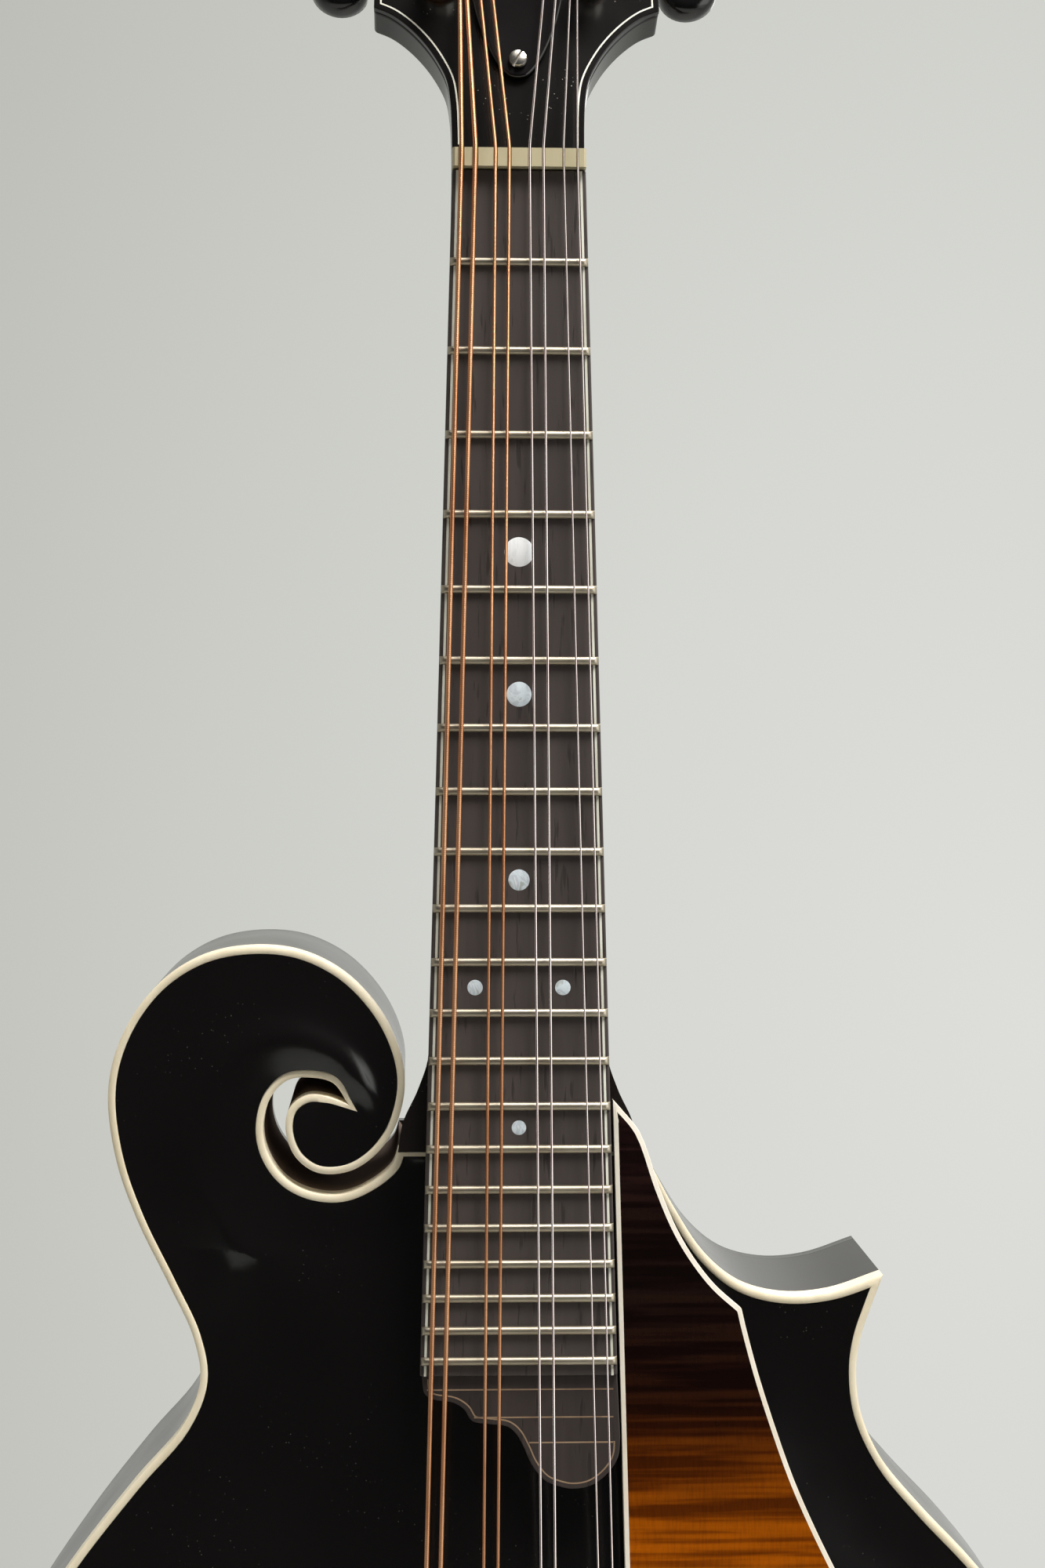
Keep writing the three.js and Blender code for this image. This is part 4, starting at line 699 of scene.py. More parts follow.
# Sound holes: half of the spine from the middle to the lower eye, as shares of the hole's half length
HOLE_SPINE_SHARES = [[0, 0], [0.05, 0.28], [0.11, 0.58], [0.17, 0.82], [0.29, 0.97], [0.42, 0.93]]
HOLE_WIDTH_SHARES = [1, 0.92, 0.8, 0.66, 0.5, 0.36]
HOLE_EYE_SHARES = [0.37, 0.78]
HOLE_STEPS, HOLE_EYE_SIDES = 5, 40


def hole_outline(side):
    """The hole's stem with an eye at each end, as one outline."""
    half = HOLE_LENGTH / 2
    upper = [(-x * half, z * half) for x, z in HOLE_SPINE_SHARES[:0:-1]]
    lower = [(x * half, -z * half) for x, z in HOLE_SPINE_SHARES]
    spine = smooth_curve(upper + lower, HOLE_STEPS)
    widths = [(share * HOLE_STEM / 2, 0) for share in HOLE_WIDTH_SHARES[:0:-1] + HOLE_WIDTH_SHARES]
    run = np.gradient(spine, axis=0)
    run /= np.linalg.norm(run, axis=1, keepdims=True)
    normal = np.stack([-run[:, 1], run[:, 0]], 1) * smooth_curve(widths, HOLE_STEPS)[:, :1]
    shapes = [np.vstack([spine + normal, (spine - normal)[::-1]])]
    angle = round_angles(HOLE_EYE_SIDES)
    for end in (-1, 1):
        centre = end * half * np.array(HOLE_EYE_SHARES) * [1, -1]
        shapes.append(centre + HOLE_EYE_RADIUS * np.stack([np.cos(angle), np.sin(angle)], 1))
    place = np.array([side * HOLE_SPREAD / 2, BRIDGE_Z])
    return [shape * [side, 1] + place for shape in shapes]


HOLES = [shape for side in (-1, 1) for shape in hole_outline(side)]


# A grid's rows, and the least room from an outer and an inner edge, as shares of the grid's step
ROW_SHARE, EDGE_ROOM_SHARE, HOLE_ROOM_SHARE = 0.87, 0.6, 0.5
MERGE_DISTANCE = 1e-4


def triangulated(polygons, cell, fine_cell=None, fine_region=None, holes=()):
    """Triangles over the room inside the first polygon and outside the holes, with points on a grid."""
    outer = np.asarray(polygons[0], float)
    low, high = outer.min(0), outer.max(0)
    grids = [(cell, lambda p: np.ones(len(p), bool))]
    if fine_cell:
        grids = [(cell, lambda p: ~fine_region(p)), (fine_cell, fine_region)]
    points = []
    for size, region in grids:
        xs = np.arange(low[0], high[0], size)
        zs = np.arange(low[1], high[1], size * ROW_SHARE)
        grid = np.array([(x + (row % 2) * size / 2, z) for row, z in enumerate(zs) for x in xs])
        keep = region(grid) & inside_polygon(grid, outer)
        grid = grid[keep]
        room = edge_distance(grid, outer) > EDGE_ROOM_SHARE * size
        for polygon in (*polygons[1:], *holes):
            room &= edge_distance(grid, polygon) > HOLE_ROOM_SHARE * size
        points.append(grid[room])
    vertices = [tuple(p) for p in outer]
    edges = [(at, (at + 1) % len(outer)) for at in range(len(outer))]
    for polygon in (*polygons[1:], *holes):
        start = len(vertices)
        vertices += [tuple(p) for p in polygon]
        edges += [(start + at, start + (at + 1) % len(polygon)) for at in range(len(polygon))]
    vertices += [tuple(p) for part in points for p in part]
    found = delaunay_2d_cdt([Vector(v) for v in vertices], edges, [], 0, MERGE_DISTANCE)
    points = np.array([tuple(v) for v in found[0]])
    faces = np.array([tuple(f) for f in found[2] if len(f) == 3])
    centre = points[faces].mean(1)
    keep = inside_polygon(centre, outer)
    for hole in holes:
        keep &= ~inside_polygon(centre, hole)
    faces = faces[keep]
    used, flat = np.unique(faces.ravel(), return_inverse=True)
    return points[used], flat.reshape(-1, 3)


def boundary_edges(faces):
    """The triangles' edges that have a triangle on one side only."""
    edges = dict.fromkeys((int(face[at]), int(face[(at + 1) % 3])) for face in faces for at in range(3))
    return [edge for edge in edges if edge[::-1] not in edges]


def neighbour_smoothed(heights, faces, rounds, free):
    """Heights evened out over the mesh at the free points."""
    edges = np.unique(np.sort(np.vstack([faces[:, [0, 1]], faces[:, [1, 2]], faces[:, [2, 0]]]), 1), axis=0)
    count = np.zeros(len(heights))
    np.add.at(count, edges.ravel(), 1)
    heights = heights.copy()
    for _ in range(rounds):
        total = np.zeros(len(heights))
        np.add.at(total, edges[:, 0], heights[edges[:, 1]])
        np.add.at(total, edges[:, 1], heights[edges[:, 0]])
        heights = np.where(free, (heights + total / np.maximum(count, 1)) / 2, heights)
    return heights


def sheet_solid(points, faces, front, back):
    """A closed solid between two height fields over one flat mesh."""
    count = len(points)
    solid = np.vstack([
        np.stack([points[:, 0], front, points[:, 1]], 1), np.stack([points[:, 0], back, points[:, 1]], 1)])
    skin = [list(face) for face in faces] + [[count + c for c in face[::-1]] for face in faces]
    skin += [[a, count + a, count + b, b] for a, b in boundary_edges(faces)]
    return solid, skin


# The crest carved along the scroll's arm: its shape across the arm from the outer edge to the inner one,
# where it begins to rise towards the arm's right end, over what length, and from what share by how much
RIDGE_HEIGHT = 1.05
RIDGE_ACROSS_SHARES = [[0, 0], [0.45, 0.02], [0.52, 0.2], [0.61, 0.85], [0.67, 1], [0.8, 0.7], [1, 0]]
RIDGE_RISE_X, RIDGE_RISE_LENGTH, RIDGE_LEAST_SHARE, RIDGE_GAIN_SHARE = -78.0, 34.0, 0.35, 1.35
CREST_START = 29 * OUTLINE_STEPS
# The curl at the arm's end is nearly flat
CURL_CENTRE = np.array([-0.29 * BODY_HALF, NECK_EDGE_Z + 0.008 * BODY_DROP])
CURL_REACH, CURL_FADE = 8.0, 4.0
SCROLL_OUTER = BASS_CURVE[:CREST_START]
SCROLL_INNER = np.vstack([BASS_CURVE[CREST_START + 2 * OUTLINE_STEPS:], CHANNEL_CURVE])
# The region of the scroll, and how it fades into the body below it and towards the neck
SCROLL_DROP, SCROLL_RIGHT_X = 22.0, -18.0
FADE_DROP, FADE_LENGTH, FADE_RIGHT_X, FADE_WIDTH = 20.0, 34.0, -22.0, 8.0


def scroll_region(points):
    return (points[:, 1] > NECK_EDGE_Z - SCROLL_DROP) & (points[:, 0] < SCROLL_RIGHT_X)


def scroll_share(points):
    """1 on the scroll, falling to 0 over the body below it."""
    down = np.clip((points[:, 1] - (NECK_EDGE_Z - FADE_DROP)) / FADE_LENGTH, 0, 1)
    return down * np.clip((FADE_RIGHT_X - points[:, 0]) / FADE_WIDTH, 0, 1)


def ridge(points):
    """The crest carved along the scroll's arm, higher towards its right end."""
    outer = edge_distance(points, SCROLL_OUTER, False)
    inner = edge_distance(points, SCROLL_INNER, False)
    across = smooth_table(RIDGE_ACROSS_SHARES, outer / (outer + inner + TINY))
    rise = np.clip((points[:, 0] - RIDGE_RISE_X) / RIDGE_RISE_LENGTH, 0, 1)
    away = np.clip((np.linalg.norm(points - CURL_CENTRE, axis=1) - CURL_REACH) / CURL_FADE, 0, 1)
    return RIDGE_HEIGHT * (RIDGE_LEAST_SHARE + RIDGE_GAIN_SHARE * rise) * across * away


TOP_CELL, TOP_SCROLL_CELL, BACK_CELL, BACK_SCROLL_CELL, BINDING_CELL = 3.6, 1.3, 3.8, 2.4, 50.0
ARCH_ROUNDS, CREST_ROUNDS = 14, 2
TOP_HELD, BACK_HELD = BINDING_WIDTH + 0.6, 2.5
SCROLL_FLAT_SHARE, BACK_CREST_SHARE = 0.85, 0.7
BINDING_SOFT, BINDING_SOFT_DROP, BINDING_INNER_DROP, BINDING_INNER_NEAR = 0.35, 0.245, 0.12, 0.05
BACK_ROUND = 1.6
BACK_ROUND_SHARES = [[0, 0], [0.35, 0.5], [1, 0.85], [2, 1]]
CAP_SHARES = [
    [-0.5, 0], [-0.47, 0.35], [-0.4, 0.8], [-0.3, 0.95], [-0.2, 1], [0.2, 1], [0.3, 0.95], [0.4, 0.8],
    [0.47, 0.35], [0.5, 0],
]
CAP_UNDER_BACK = 0.05


def top_plate():
    edge = inset(BINDING_WIDTH + GLUE_LINE)
    points, faces = triangulated([edge], TOP_CELL, TOP_SCROLL_CELL, scroll_region, holes=HOLES)
    free = depth_inside(points) > TOP_HELD
    near = scroll_share(points)
    share = neighbour_smoothed(arch_share(points), faces, ARCH_ROUNDS, free & ~scroll_region(points))
    arch = FACE_Y - TOP_ARCH * share * (1 - SCROLL_FLAT_SHARE * near)
    front = arch - neighbour_smoothed(near * ridge(points), faces, CREST_ROUNDS, free)
    back = np.minimum(arch + plate_thickness(points, TOP_EDGE), RIB_FRONT_Y) - GLUE_LINE
    add_piece("top", *sheet_solid(points, faces, front, back), "top_lacquer", replaces=("top_plate",),
              slot="lacquered_top", smooth_angle=50)


def binding_ring():
    """The cream strip round the top, with softened edges."""
    outer, chamfer, inner_soft, inner = (inset(distance) for distance in (
        0, BINDING_SOFT, BINDING_WIDTH - BINDING_SOFT / 2, BINDING_WIDTH))
    points, faces = triangulated([outer, chamfer, inner_soft], BINDING_CELL, holes=[inner])
    depth = edge_distance(points, OUTLINE)
    front = np.where(depth < BINDING_SOFT / 2, FACE_Y + BINDING_SOFT_DROP, FACE_Y)
    front = np.where(depth > BINDING_WIDTH - BINDING_INNER_NEAR, FACE_Y + BINDING_INNER_DROP, front)
    back = np.full(len(points), RIB_FRONT_Y)
    add_piece("binding", *sheet_solid(points, faces, front, back), "binding", replaces=("top_binding",),
              slot="cream_binding", smooth_angle=50)


def back_plate():
    """The carved back with a rounded edge, and its button under the heel."""
    rings = [inset(BACK_ROUND * at) for at, _ in BACK_ROUND_SHARES]
    points, faces = triangulated(rings, BACK_CELL, BACK_SCROLL_CELL, scroll_region)
    depth = depth_inside(points)
    free = (depth > BACK_HELD) & ~scroll_region(points)
    arch = BACK_Y + BACK_ARCH * neighbour_smoothed(arch_share(points), faces, ARCH_ROUNDS, free)
    fall = BACK_ROUND * (1 - smooth_table(BACK_ROUND_SHARES, depth / BACK_ROUND))
    back = arch - fall + BACK_CREST_SHARE * scroll_share(points) * ridge(points)
    front = np.maximum(arch - plate_thickness(points, BACK_EDGE), RIB_BACK_Y) + GLUE_LINE
    start = NECK_EDGE_Z - RIB_THICKNESS
    cap = [(a * HEEL_HALF, start + u * (NECK_EDGE_Z + HEEL_CAP_LENGTH - start)) for a, u in CAP_SHARES]
    add_piece("back", *sheet_solid(points, faces, front, back), "side_lacquer", replaces=("back_plate",),
              slot="black_lacquer", smooth_angle=50)
    add_piece("back_button", *prism(cap, RIB_BACK_Y + GLUE_LINE, BACK_Y - CAP_UNDER_BACK), "side_lacquer",
              slot="black_lacquer", soft_edge=0.8)


def side_strip(first, last, outer, inner, front, back):
    line = inset_stretch(first, last, outer)
    inside = inset_stretch(first, last, inner)[::-1]
    return prism(np.vstack([line, inside]).tolist(), front, back)


def side_piece(name, first, last, lining, material="side_lacquer"):
    """A bent side, with its linings over a stretch given by two shares of its length."""
    parts = [side_strip(first, last, 0, RIB_THICKNESS, RIB_FRONT_Y, RIB_BACK_Y)]
    if lining:
        start, end = (first + round(share * (last - first)) for share in lining)
        front_lining = (RIB_FRONT_Y, RIB_FRONT_Y + LINING_DEPTH)
        back_lining = (RIB_BACK_Y - LINING_DEPTH, RIB_BACK_Y)
        for front, back in (front_lining, back_lining):
            parts.append(side_strip(start, end, RIB_THICKNESS, RIB_THICKNESS + LINING_WIDTH, front, back))
    add_piece(name.replace("rib", "side"), *joined_shapes(*parts), material, replaces=(name,),
              slot="black_lacquer", smooth_angle=35)


EYE_START = 30 * OUTLINE_STEPS
BASS_LINING_SHARES, TREBLE_LINING_SHARES = (0.1, 0.78), (0.3, 0.88)
top_plate()
binding_ring()
back_plate()
side_piece("rib_bass", 0, EYE_START, BASS_LINING_SHARES)
# The sides round the scroll's eye and its channel take the lacquer with the painted sheen
add_piece("side_eye", *side_strip(EYE_START, BASS_END, 0, RIB_THICKNESS, RIB_FRONT_Y, RIB_BACK_Y),
          "channel_lacquer", slot="black_lacquer", smooth_angle=35)
side_piece("rib_channel", BASS_END, CHANNEL_END, None, "channel_lacquer")
side_piece("rib_cutaway", CUTAWAY_START, CUTAWAY_END, None)
side_piece("rib_treble", CUTAWAY_END, len(OUTLINE), TREBLE_LINING_SHARES)


# Neck: sections square to the body, from the heel's end up to the head's root
HEEL_END_Z = NECK_EDGE_Z + SEAT_GAP
HEEL_FLARE_SHARES = [[0, 0], [0.62, 0], [0.76, 0.36], [0.88, 0.84], [1, 1]]
HEEL_BACK_SHARES = [[0, 0], [0.25, 0.06], [0.5, 0.22], [0.65, 0.5], [0.74, 0.9], [0.8, 1], [1, 1]]
HEEL_BOXED_SHARES = [[0, 0], [0.4, 0.4], [0.75, 1], [1, 1]]
RING_STEPS, HEEL_SECTIONS, SHAFT_SECTIONS, ROOT_SECTIONS = 14, 40, 12, 6
LEAST_ROUND_SHARE, HEEL_TAPER_SHARE, HEEL_TAPER_POWER = 0.08, 0.5, 1.6
ROOT_SHARE, ROOT_START, ROOT_SIDE_GAP, ROOT_BACK_DROP = 0.92, 0.4, 0.2, 0.8
HEAD_TILT = NECK_ANGLE + HEAD_PITCH


def glue_plane(z):
    return z * math.tan(NECK_ANGLE) + SEAT_GAP


def head_plane(z, depth):
    return z * math.tan(HEAD_TILT) + depth / math.cos(HEAD_TILT)


def neck_ring(z, half, back, boxed, front):
    ring = []
    for level in np.sin(np.linspace(0, math.pi / 2, RING_STEPS)):
        rounded = max(math.sqrt(max(1 - level * level, 0)), LEAST_ROUND_SHARE)
        heel = 1 - HEEL_TAPER_SHARE * level ** HEEL_TAPER_POWER
        ring.append((half * (rounded + (heel - rounded) * boxed), front + (back - front) * level, z))
    return ring + [(-x, y, z) for x, y, z in reversed(ring)]


def neck_piece():
    rings = []
    for share in np.linspace(1, 0, HEEL_SECTIONS):
        z = -HEEL_START + share * (HEEL_END_Z + HEEL_START)
        flare, back_share, boxed = (float(smooth_table(table, share)) for table in (
            HEEL_FLARE_SHARES, HEEL_BACK_SHARES, HEEL_BOXED_SHARES))
        half = board_half(-z) + flare * (HEEL_HALF - board_half(-HEEL_END_Z))
        shallow = glue_plane(z) + NECK_DEPTH_HEEL
        back = shallow + (RIB_BACK_Y - shallow) * min(max(back_share, 0), 1)
        rings.append(neck_ring(z, half, back, min(max(boxed, 0), 1), glue_plane(z)))
    for share in np.linspace(0, 1, SHAFT_SECTIONS)[1:]:
        z = -HEEL_START + share * (LEDGE_Z + HEEL_START)
        depth = NECK_DEPTH_HEEL + (NECK_DEPTH_NUT - NECK_DEPTH_HEEL) * share
        rings.append(neck_ring(z, board_half(max(-z, 0)), glue_plane(z) + depth, 0, glue_plane(z)))
    root_end = ROOT_SHARE * (SEAT_GAP + NECK_DEPTH_NUT - head_plane(0, HEAD_BACK_Y)) / (
        math.tan(HEAD_TILT) - math.tan(NECK_ANGLE))
    for share in np.linspace(0, 1, ROOT_SECTIONS):
        z = LEDGE_Z + ROOT_START + share * (root_end - LEDGE_Z)
        back = glue_plane(z) + NECK_DEPTH_NUT - ROOT_BACK_DROP * share ** 2
        half, front = board_half(0) - ROOT_SIDE_GAP, head_plane(z, SEAT_GAP + ROOT_START)
        rings.append(neck_ring(z, half, back, 0, front))
    add_piece("neck_shaft", *loft(rings), "side_lacquer", replaces=("neck",), slot="black_lacquer",
              smooth_angle=50)


HEAD_SHARES = [
    [0.364, 0], [0.366, 0.06], [0.374, 0.1], [0.395, 0.13], [0.449, 0.158], [0.519, 0.183], [0.608, 0.206],
    [0.701, 0.223], [0.797, 0.233], [0.79, 0.26], [0.73, 0.3], [0.7, 0.36], [0.69, 0.46], [0.7, 0.57],
    [0.72, 0.67], [0.76, 0.76], [0.85, 0.81], [0.98, 0.85], [0.9, 0.865], [0.85, 0.885], [0.85, 0.915],
    [0.78, 0.955], [0.6, 0.987], [0.36, 1], [0.12, 0.985], [-0.08, 0.945], [-0.25, 0.895], [-0.38, 0.86],
    [-0.52, 0.842], [-0.7, 0.845], [-0.86, 0.86], [-1, 0.85], [-0.87, 0.81], [-0.77, 0.76], [-0.72, 0.67],
    [-0.7, 0.57], [-0.69, 0.46], [-0.7, 0.36], [-0.73, 0.3], [-0.79, 0.26], [-0.797, 0.233],
    [-0.701, 0.223], [-0.608, 0.206], [-0.519, 0.183], [-0.449, 0.158], [-0.395, 0.13], [-0.374, 0.1],
    [-0.366, 0.06], [-0.364, 0],
]
# The sharp corners of the head's outline
HEAD_CORNERS = [0, 8, 17, 31, 40, len(HEAD_SHARES) - 1]
HEAD_STEPS = 5


def head_outline():
    points = [(a * HEAD_HALF, u * HEAD_LENGTH) for a, u in HEAD_SHARES]
    line = []
    for first, last in zip(HEAD_CORNERS[:-1], HEAD_CORNERS[1:]):
        line.extend(smooth_curve(points[first:last + 1], HEAD_STEPS)[:-1].tolist())
    return [*line, list(points[-1])]


def line_band(line, outer, inner, front, back, place):
    """A thin band set in from an open line whose inside is on its left, between two distances."""
    near = inset_line(line, outer, False, inside=1)
    far = inset_line(line, inner, False, inside=1)[::-1]
    return prism(np.vstack([near, far]).tolist(), front, back, place)


HEAD_LINE = head_outline()
OVERLAY_LOW = LEDGE_Z + 2 * SEAT_GAP
OVERLAY_KEPT_ABOVE, LINE_KEPT_ABOVE = OVERLAY_LOW + 0.2, OVERLAY_LOW + 1.0
HEAD_LINE_INSET, HEAD_LINE_WIDTH = 1.3, 0.35
# How far the lines stand out of the wood, and how deep they lie in the head, the extension and the board
RAISED, HEAD_SUNK, EXTENSION_SUNK, BOARD_SUNK = 0.03, 0.1, 0.2, 0.3
neck_piece()
add_piece("head", *prism(HEAD_LINE, SEAT_GAP, HEAD_BACK_Y, on_head), "side_lacquer", slot="black_lacquer",
          soft_edge=0.7)
overlay_line = [(NUT_WIDTH / 2, OVERLAY_LOW), *(p for p in HEAD_LINE if p[1] > OVERLAY_KEPT_ABOVE),
                (-NUT_WIDTH / 2, OVERLAY_LOW)]
add_piece("overlay", *prism(overlay_line, -OVERLAY_THICKNESS, 0, on_head), "overlay_lacquer",
          replaces=("headstock_overlay",), slot="ebony", soft_edge=0.25)
head_edge = [point for point in HEAD_LINE if point[1] > LINE_KEPT_ABOVE]
add_piece("overlay_line", *line_band(head_edge, HEAD_LINE_INSET, HEAD_LINE_INSET + HEAD_LINE_WIDTH,
          -OVERLAY_THICKNESS - RAISED, -OVERLAY_THICKNESS + HEAD_SUNK, on_head), "white_line",
          slot="cream_binding")

# Truss rod cover and its screws
COVER_SHARES = [
    [0.4, 1], [0.5, 0.9], [0.5, 0.68], [0.45, 0.44], [0.335, 0.225], [0.2, 0.075], [0.09, 0.01], [0.03, 0],
]
COVER_WIDTH, COVER_LENGTH, COVER_LOW, COVER_THICKNESS = 21.0, 40.0, 21.5, 1.4
COVER_STEPS = 4
cover_right = smooth_curve([(a * COVER_WIDTH, COVER_LOW + u * COVER_LENGTH) for a, u in COVER_SHARES],
                           COVER_STEPS)
cover_line = cover_right.tolist() + [(-x, z) for x, z in cover_right[::-1].tolist()]
cover_back = -OVERLAY_THICKNESS - SEAT_GAP
cover_front = cover_back - COVER_THICKNESS
add_piece("rod_cover", *prism(cover_line, cover_front, cover_back, on_head), "cover_black",
          replaces=("truss_rod_cover",), slot="black_cover", soft_edge=0.6)

SCREW_RADIUS, SCREW_HEIGHT, SLOT_HALF, SLOT_DEPTH = 2.0, 1.1, 0.3, 0.9
# The screw's dome, as shares of its radius and of its height
DOME_SHARES = [(1.0, 0), (1.0, 0.5), (0.9, 0.85), (0.6, 1)]
DOME_STEPS, SLOT_FLOOR_SHARE = 18, 0.98
SHANK_RADIUS, SHANK_LENGTH = 0.9, 3.8
FORWARD, BACKWARD, UP = (0, -1, 0), (0, 1, 0), (0, 0, 1)


def screw(name, share, turn):
    """A domed head with a real slot, on its shank."""
    seat = cover_front - SEAT_GAP
    limit = math.pi / 2 - math.asin(SLOT_HALF / SCREW_RADIUS)
    shapes = []
    for half in (-1, 1):
        arc = [(SCREW_RADIUS * math.cos(a), SCREW_RADIUS * math.sin(a))
               for a in np.linspace(-limit, limit, DOME_STEPS)]
        shapes.append(loft([[(half * max(x * scale, SLOT_HALF), seat - rise * SCREW_HEIGHT, r * scale)
                             for x, r in arc] for scale, rise in DOME_SHARES]))
    floor_radius = SCREW_RADIUS * SLOT_FLOOR_SHARE
    floor_profile = [(floor_radius, 0), (floor_radius, SCREW_HEIGHT - SLOT_DEPTH)]
    shapes.append(lathe(floor_profile, (0, seat, 0), FORWARD, 24))
    shapes.append(lathe([(SHANK_RADIUS, 0), (SHANK_RADIUS, SHANK_LENGTH)], (0, seat, 0), BACKWARD, 12))
    points, faces = joined_shapes(*shapes)
    c, s = math.cos(turn), math.sin(turn)
    z = COVER_LOW + share * COVER_LENGTH
    turned = [(x * c - q * s, y, x * s + q * c + z) for x, y, q in points]
    add_piece(name.replace("cover_screw", "screw"), on_head(turned), faces, "nickel", replaces=(name,),
              slot="nickel", smooth_angle=30)


# Each screw's place as a share of the cover's length, and how its slot is turned
screw("cover_screw_lower", 0.095, math.radians(-28))
screw("cover_screw_upper", 0.88, math.radians(35))

# Fretboard, its scooped extension, lines, dots and frets
BOARD_END = fret_distance(FRET_COUNT) + BOARD_PAST_LAST_FRET
END_HALF = board_half(BOARD_END)
SEEN_END = BOARD_END - 0.45
EXTENSION_LAP = 0.4
EXTENSION_SHARES = [
    [-0.98, 0], [-0.95, 0.16], [-0.86, 0.21], [-0.66, 0.24], [-0.55, 0.3], [-0.47, 0.4], [-0.28, 0.43],
    [-0.12, 0.45], [-0.03, 0.51], [0.05, 0.63], [0.13, 0.78], [0.26, 0.92], [0.42, 0.98], [0.56, 1],
    [0.74, 0.97], [0.91, 0.86], [1.01, 0.72], [1.03, 0.55],
]
EXTENSION_STEPS = 5
board_corners = [
    (-NUT_WIDTH / 2, -SEAT_GAP), (NUT_WIDTH / 2, -SEAT_GAP), (END_HALF, -SEEN_END), (-END_HALF, -SEEN_END),
]
add_piece("board", *prism(board_corners, -BOARD_THICKNESS, 0, on_neck), "board", replaces=("fretboard",),
          slot="ebony", soft_edge=0.35)
extension_curve = [
    [-END_HALF, -SEEN_END + EXTENSION_LAP],
    *smooth_curve([(a * END_HALF, -BOARD_END + EXTENSION_LAP - d * (EXTENSION_LENGTH + EXTENSION_LAP))
                   for a, d in EXTENSION_SHARES], EXTENSION_STEPS).tolist(),
    [END_HALF, -SEEN_END + EXTENSION_LAP],
]
add_piece("extension", *prism(extension_curve, -EXTENSION_THICKNESS, 0, on_neck), "scoop_board", slot="ebony",
          soft_edge=0.35)
EXTENSION_FRONT = -EXTENSION_THICKNESS
LINE_FROM_EDGE, LINE_WIDTH, THIN_LINE = 0.8, 0.5, 0.3
LINE_FROM_CURVE = LINE_FROM_EDGE + 0.2
LINE_START = SEAT_GAP + 0.2
add_piece("extension_line", *line_band(extension_curve[2:-2], LINE_FROM_CURVE, LINE_FROM_CURVE + THIN_LINE,
          EXTENSION_FRONT - RAISED, EXTENSION_FRONT + EXTENSION_SUNK, on_neck), "scoop_line",
          slot="cream_binding")
for side, side_name in ((-1, "bass"), (1, "treble")):
    corners = [(side * (board_half(d) - LINE_FROM_EDGE - w), -d)
               for d, w in ((LINE_START, 0), (SEEN_END, 0), (SEEN_END, LINE_WIDTH), (LINE_START, LINE_WIDTH))]
    add_piece(f"board_line_{side_name}", *prism(corners, -BOARD_THICKNESS - RAISED,
              -BOARD_THICKNESS + BOARD_SUNK, on_neck), "white_line", slot="cream_binding")
# Three lines like frets across the extension: the distance from the nut and where each starts
SCOOP_LINES = [(254.1, -18.9), (259.8, -9.2), (265.0, 2.2)]
for number, (distance, left) in enumerate(SCOOP_LINES):
    add_piece(f"scoop_line_{number}", *block(left, END_HALF - LINE_FROM_EDGE, EXTENSION_FRONT - RAISED,
              EXTENSION_FRONT + HEAD_SUNK, -distance - THIN_LINE / 2, -distance + THIN_LINE / 2, on_neck),
              "scoop_line", slot="cream_binding")

# For each dotted fret, how far across each dot lies and how wide it is
DOTS = {5: [(0, 6.2)], 7: [(0, 5.2)], 10: [(0, 4.4)], 12: [(-9.1, 3.2), (9.1, 3.2)], 15: [(0, 3.0)]}
# A dot's rim, from its edge's radius and the board's face
DOT_RIM = [(0, -0.4), (0, 0.02), (-0.08, 0.05)]
for fret, dots in DOTS.items():
    middle = (fret_distance(fret) + fret_distance(fret - 1)) / 2
    for number, (across, width) in enumerate(dots):
        profile = [(width / 2 + out, height) for out, height in DOT_RIM]
        add_piece(f"dot_{fret}_{number}", *lathe(profile, (across, -BOARD_THICKNESS, -middle), FORWARD, 40,
                  on_neck), "bright_pearl" if fret == 5 else "pearl", slot="cream_binding", smooth_angle=30)

# A fret's bevelled end: how far in, and the share of its height there
FRET_END = [(0, 0), (0.25, 0.55), (0.7, 0.92), (1.1, 1.0)]
FRET_SIDE_GAP, FRET_TANG, CROWN_POWER, CROWN_STEPS = 0.05, 0.5, 0.8, 11


def fret_shape(fret):
    """A crowned wire over the board, with bevelled ends and a low tang."""
    distance = fret_distance(fret)
    half = board_half(distance) - FRET_SIDE_GAP
    arc = [(FRET_HEIGHT * math.sin(a) ** CROWN_POWER, FRET_WIDTH / 2 * math.cos(a))
           for a in np.linspace(0, math.pi, CROWN_STEPS)]
    ends = [(inward - half, share) for inward, share in FRET_END]
    rings = []
    for x, share in ends + [(-x, share) for x, share in reversed(ends)]:
        ring = [(x, -BOARD_THICKNESS - share * height, -distance + along) for height, along in arc]
        ring += [(x, -BOARD_THICKNESS + FRET_TANG, -distance + end * FRET_WIDTH / 2) for end in (-1, 1)]
        rings.append(ring)
    return loft(rings, on_neck)


add_piece("frets", *joined_shapes(*[fret_shape(f) for f in range(1, FRET_COUNT + 1)]), "fret_metal",
          slot="nickel", smooth_angle=55)

# Strings and the nut's notches
STRING_SPREAD_NUT, STRING_SPREAD_BRIDGE, HOOK_SPREAD, PAIR_GAP = 24.2, 41.0, 29.0, 2.9
NUT_CLEARANCE, STRING_HEIGHT_BRIDGE = 0.45, 2.6
NUT_CORNER, NOTCH_SIDE_GAP, NOTCH_FLOOR_GAP, NOTCH_CHAMFER, NOTCH_STEPS = 0.5, 0.06, 0.05, 0.1, 7


def string_across(number, spread):
    step = (spread - PAIR_GAP) / 3
    return -spread / 2 + (number // 2) * step + (number % 2) * PAIR_GAP


def string_at(number, spread, above_frets, z):
    return on_neck([string_across(number, spread), FRET_TOP_Y - above_frets - STRING_RADII[number], z])


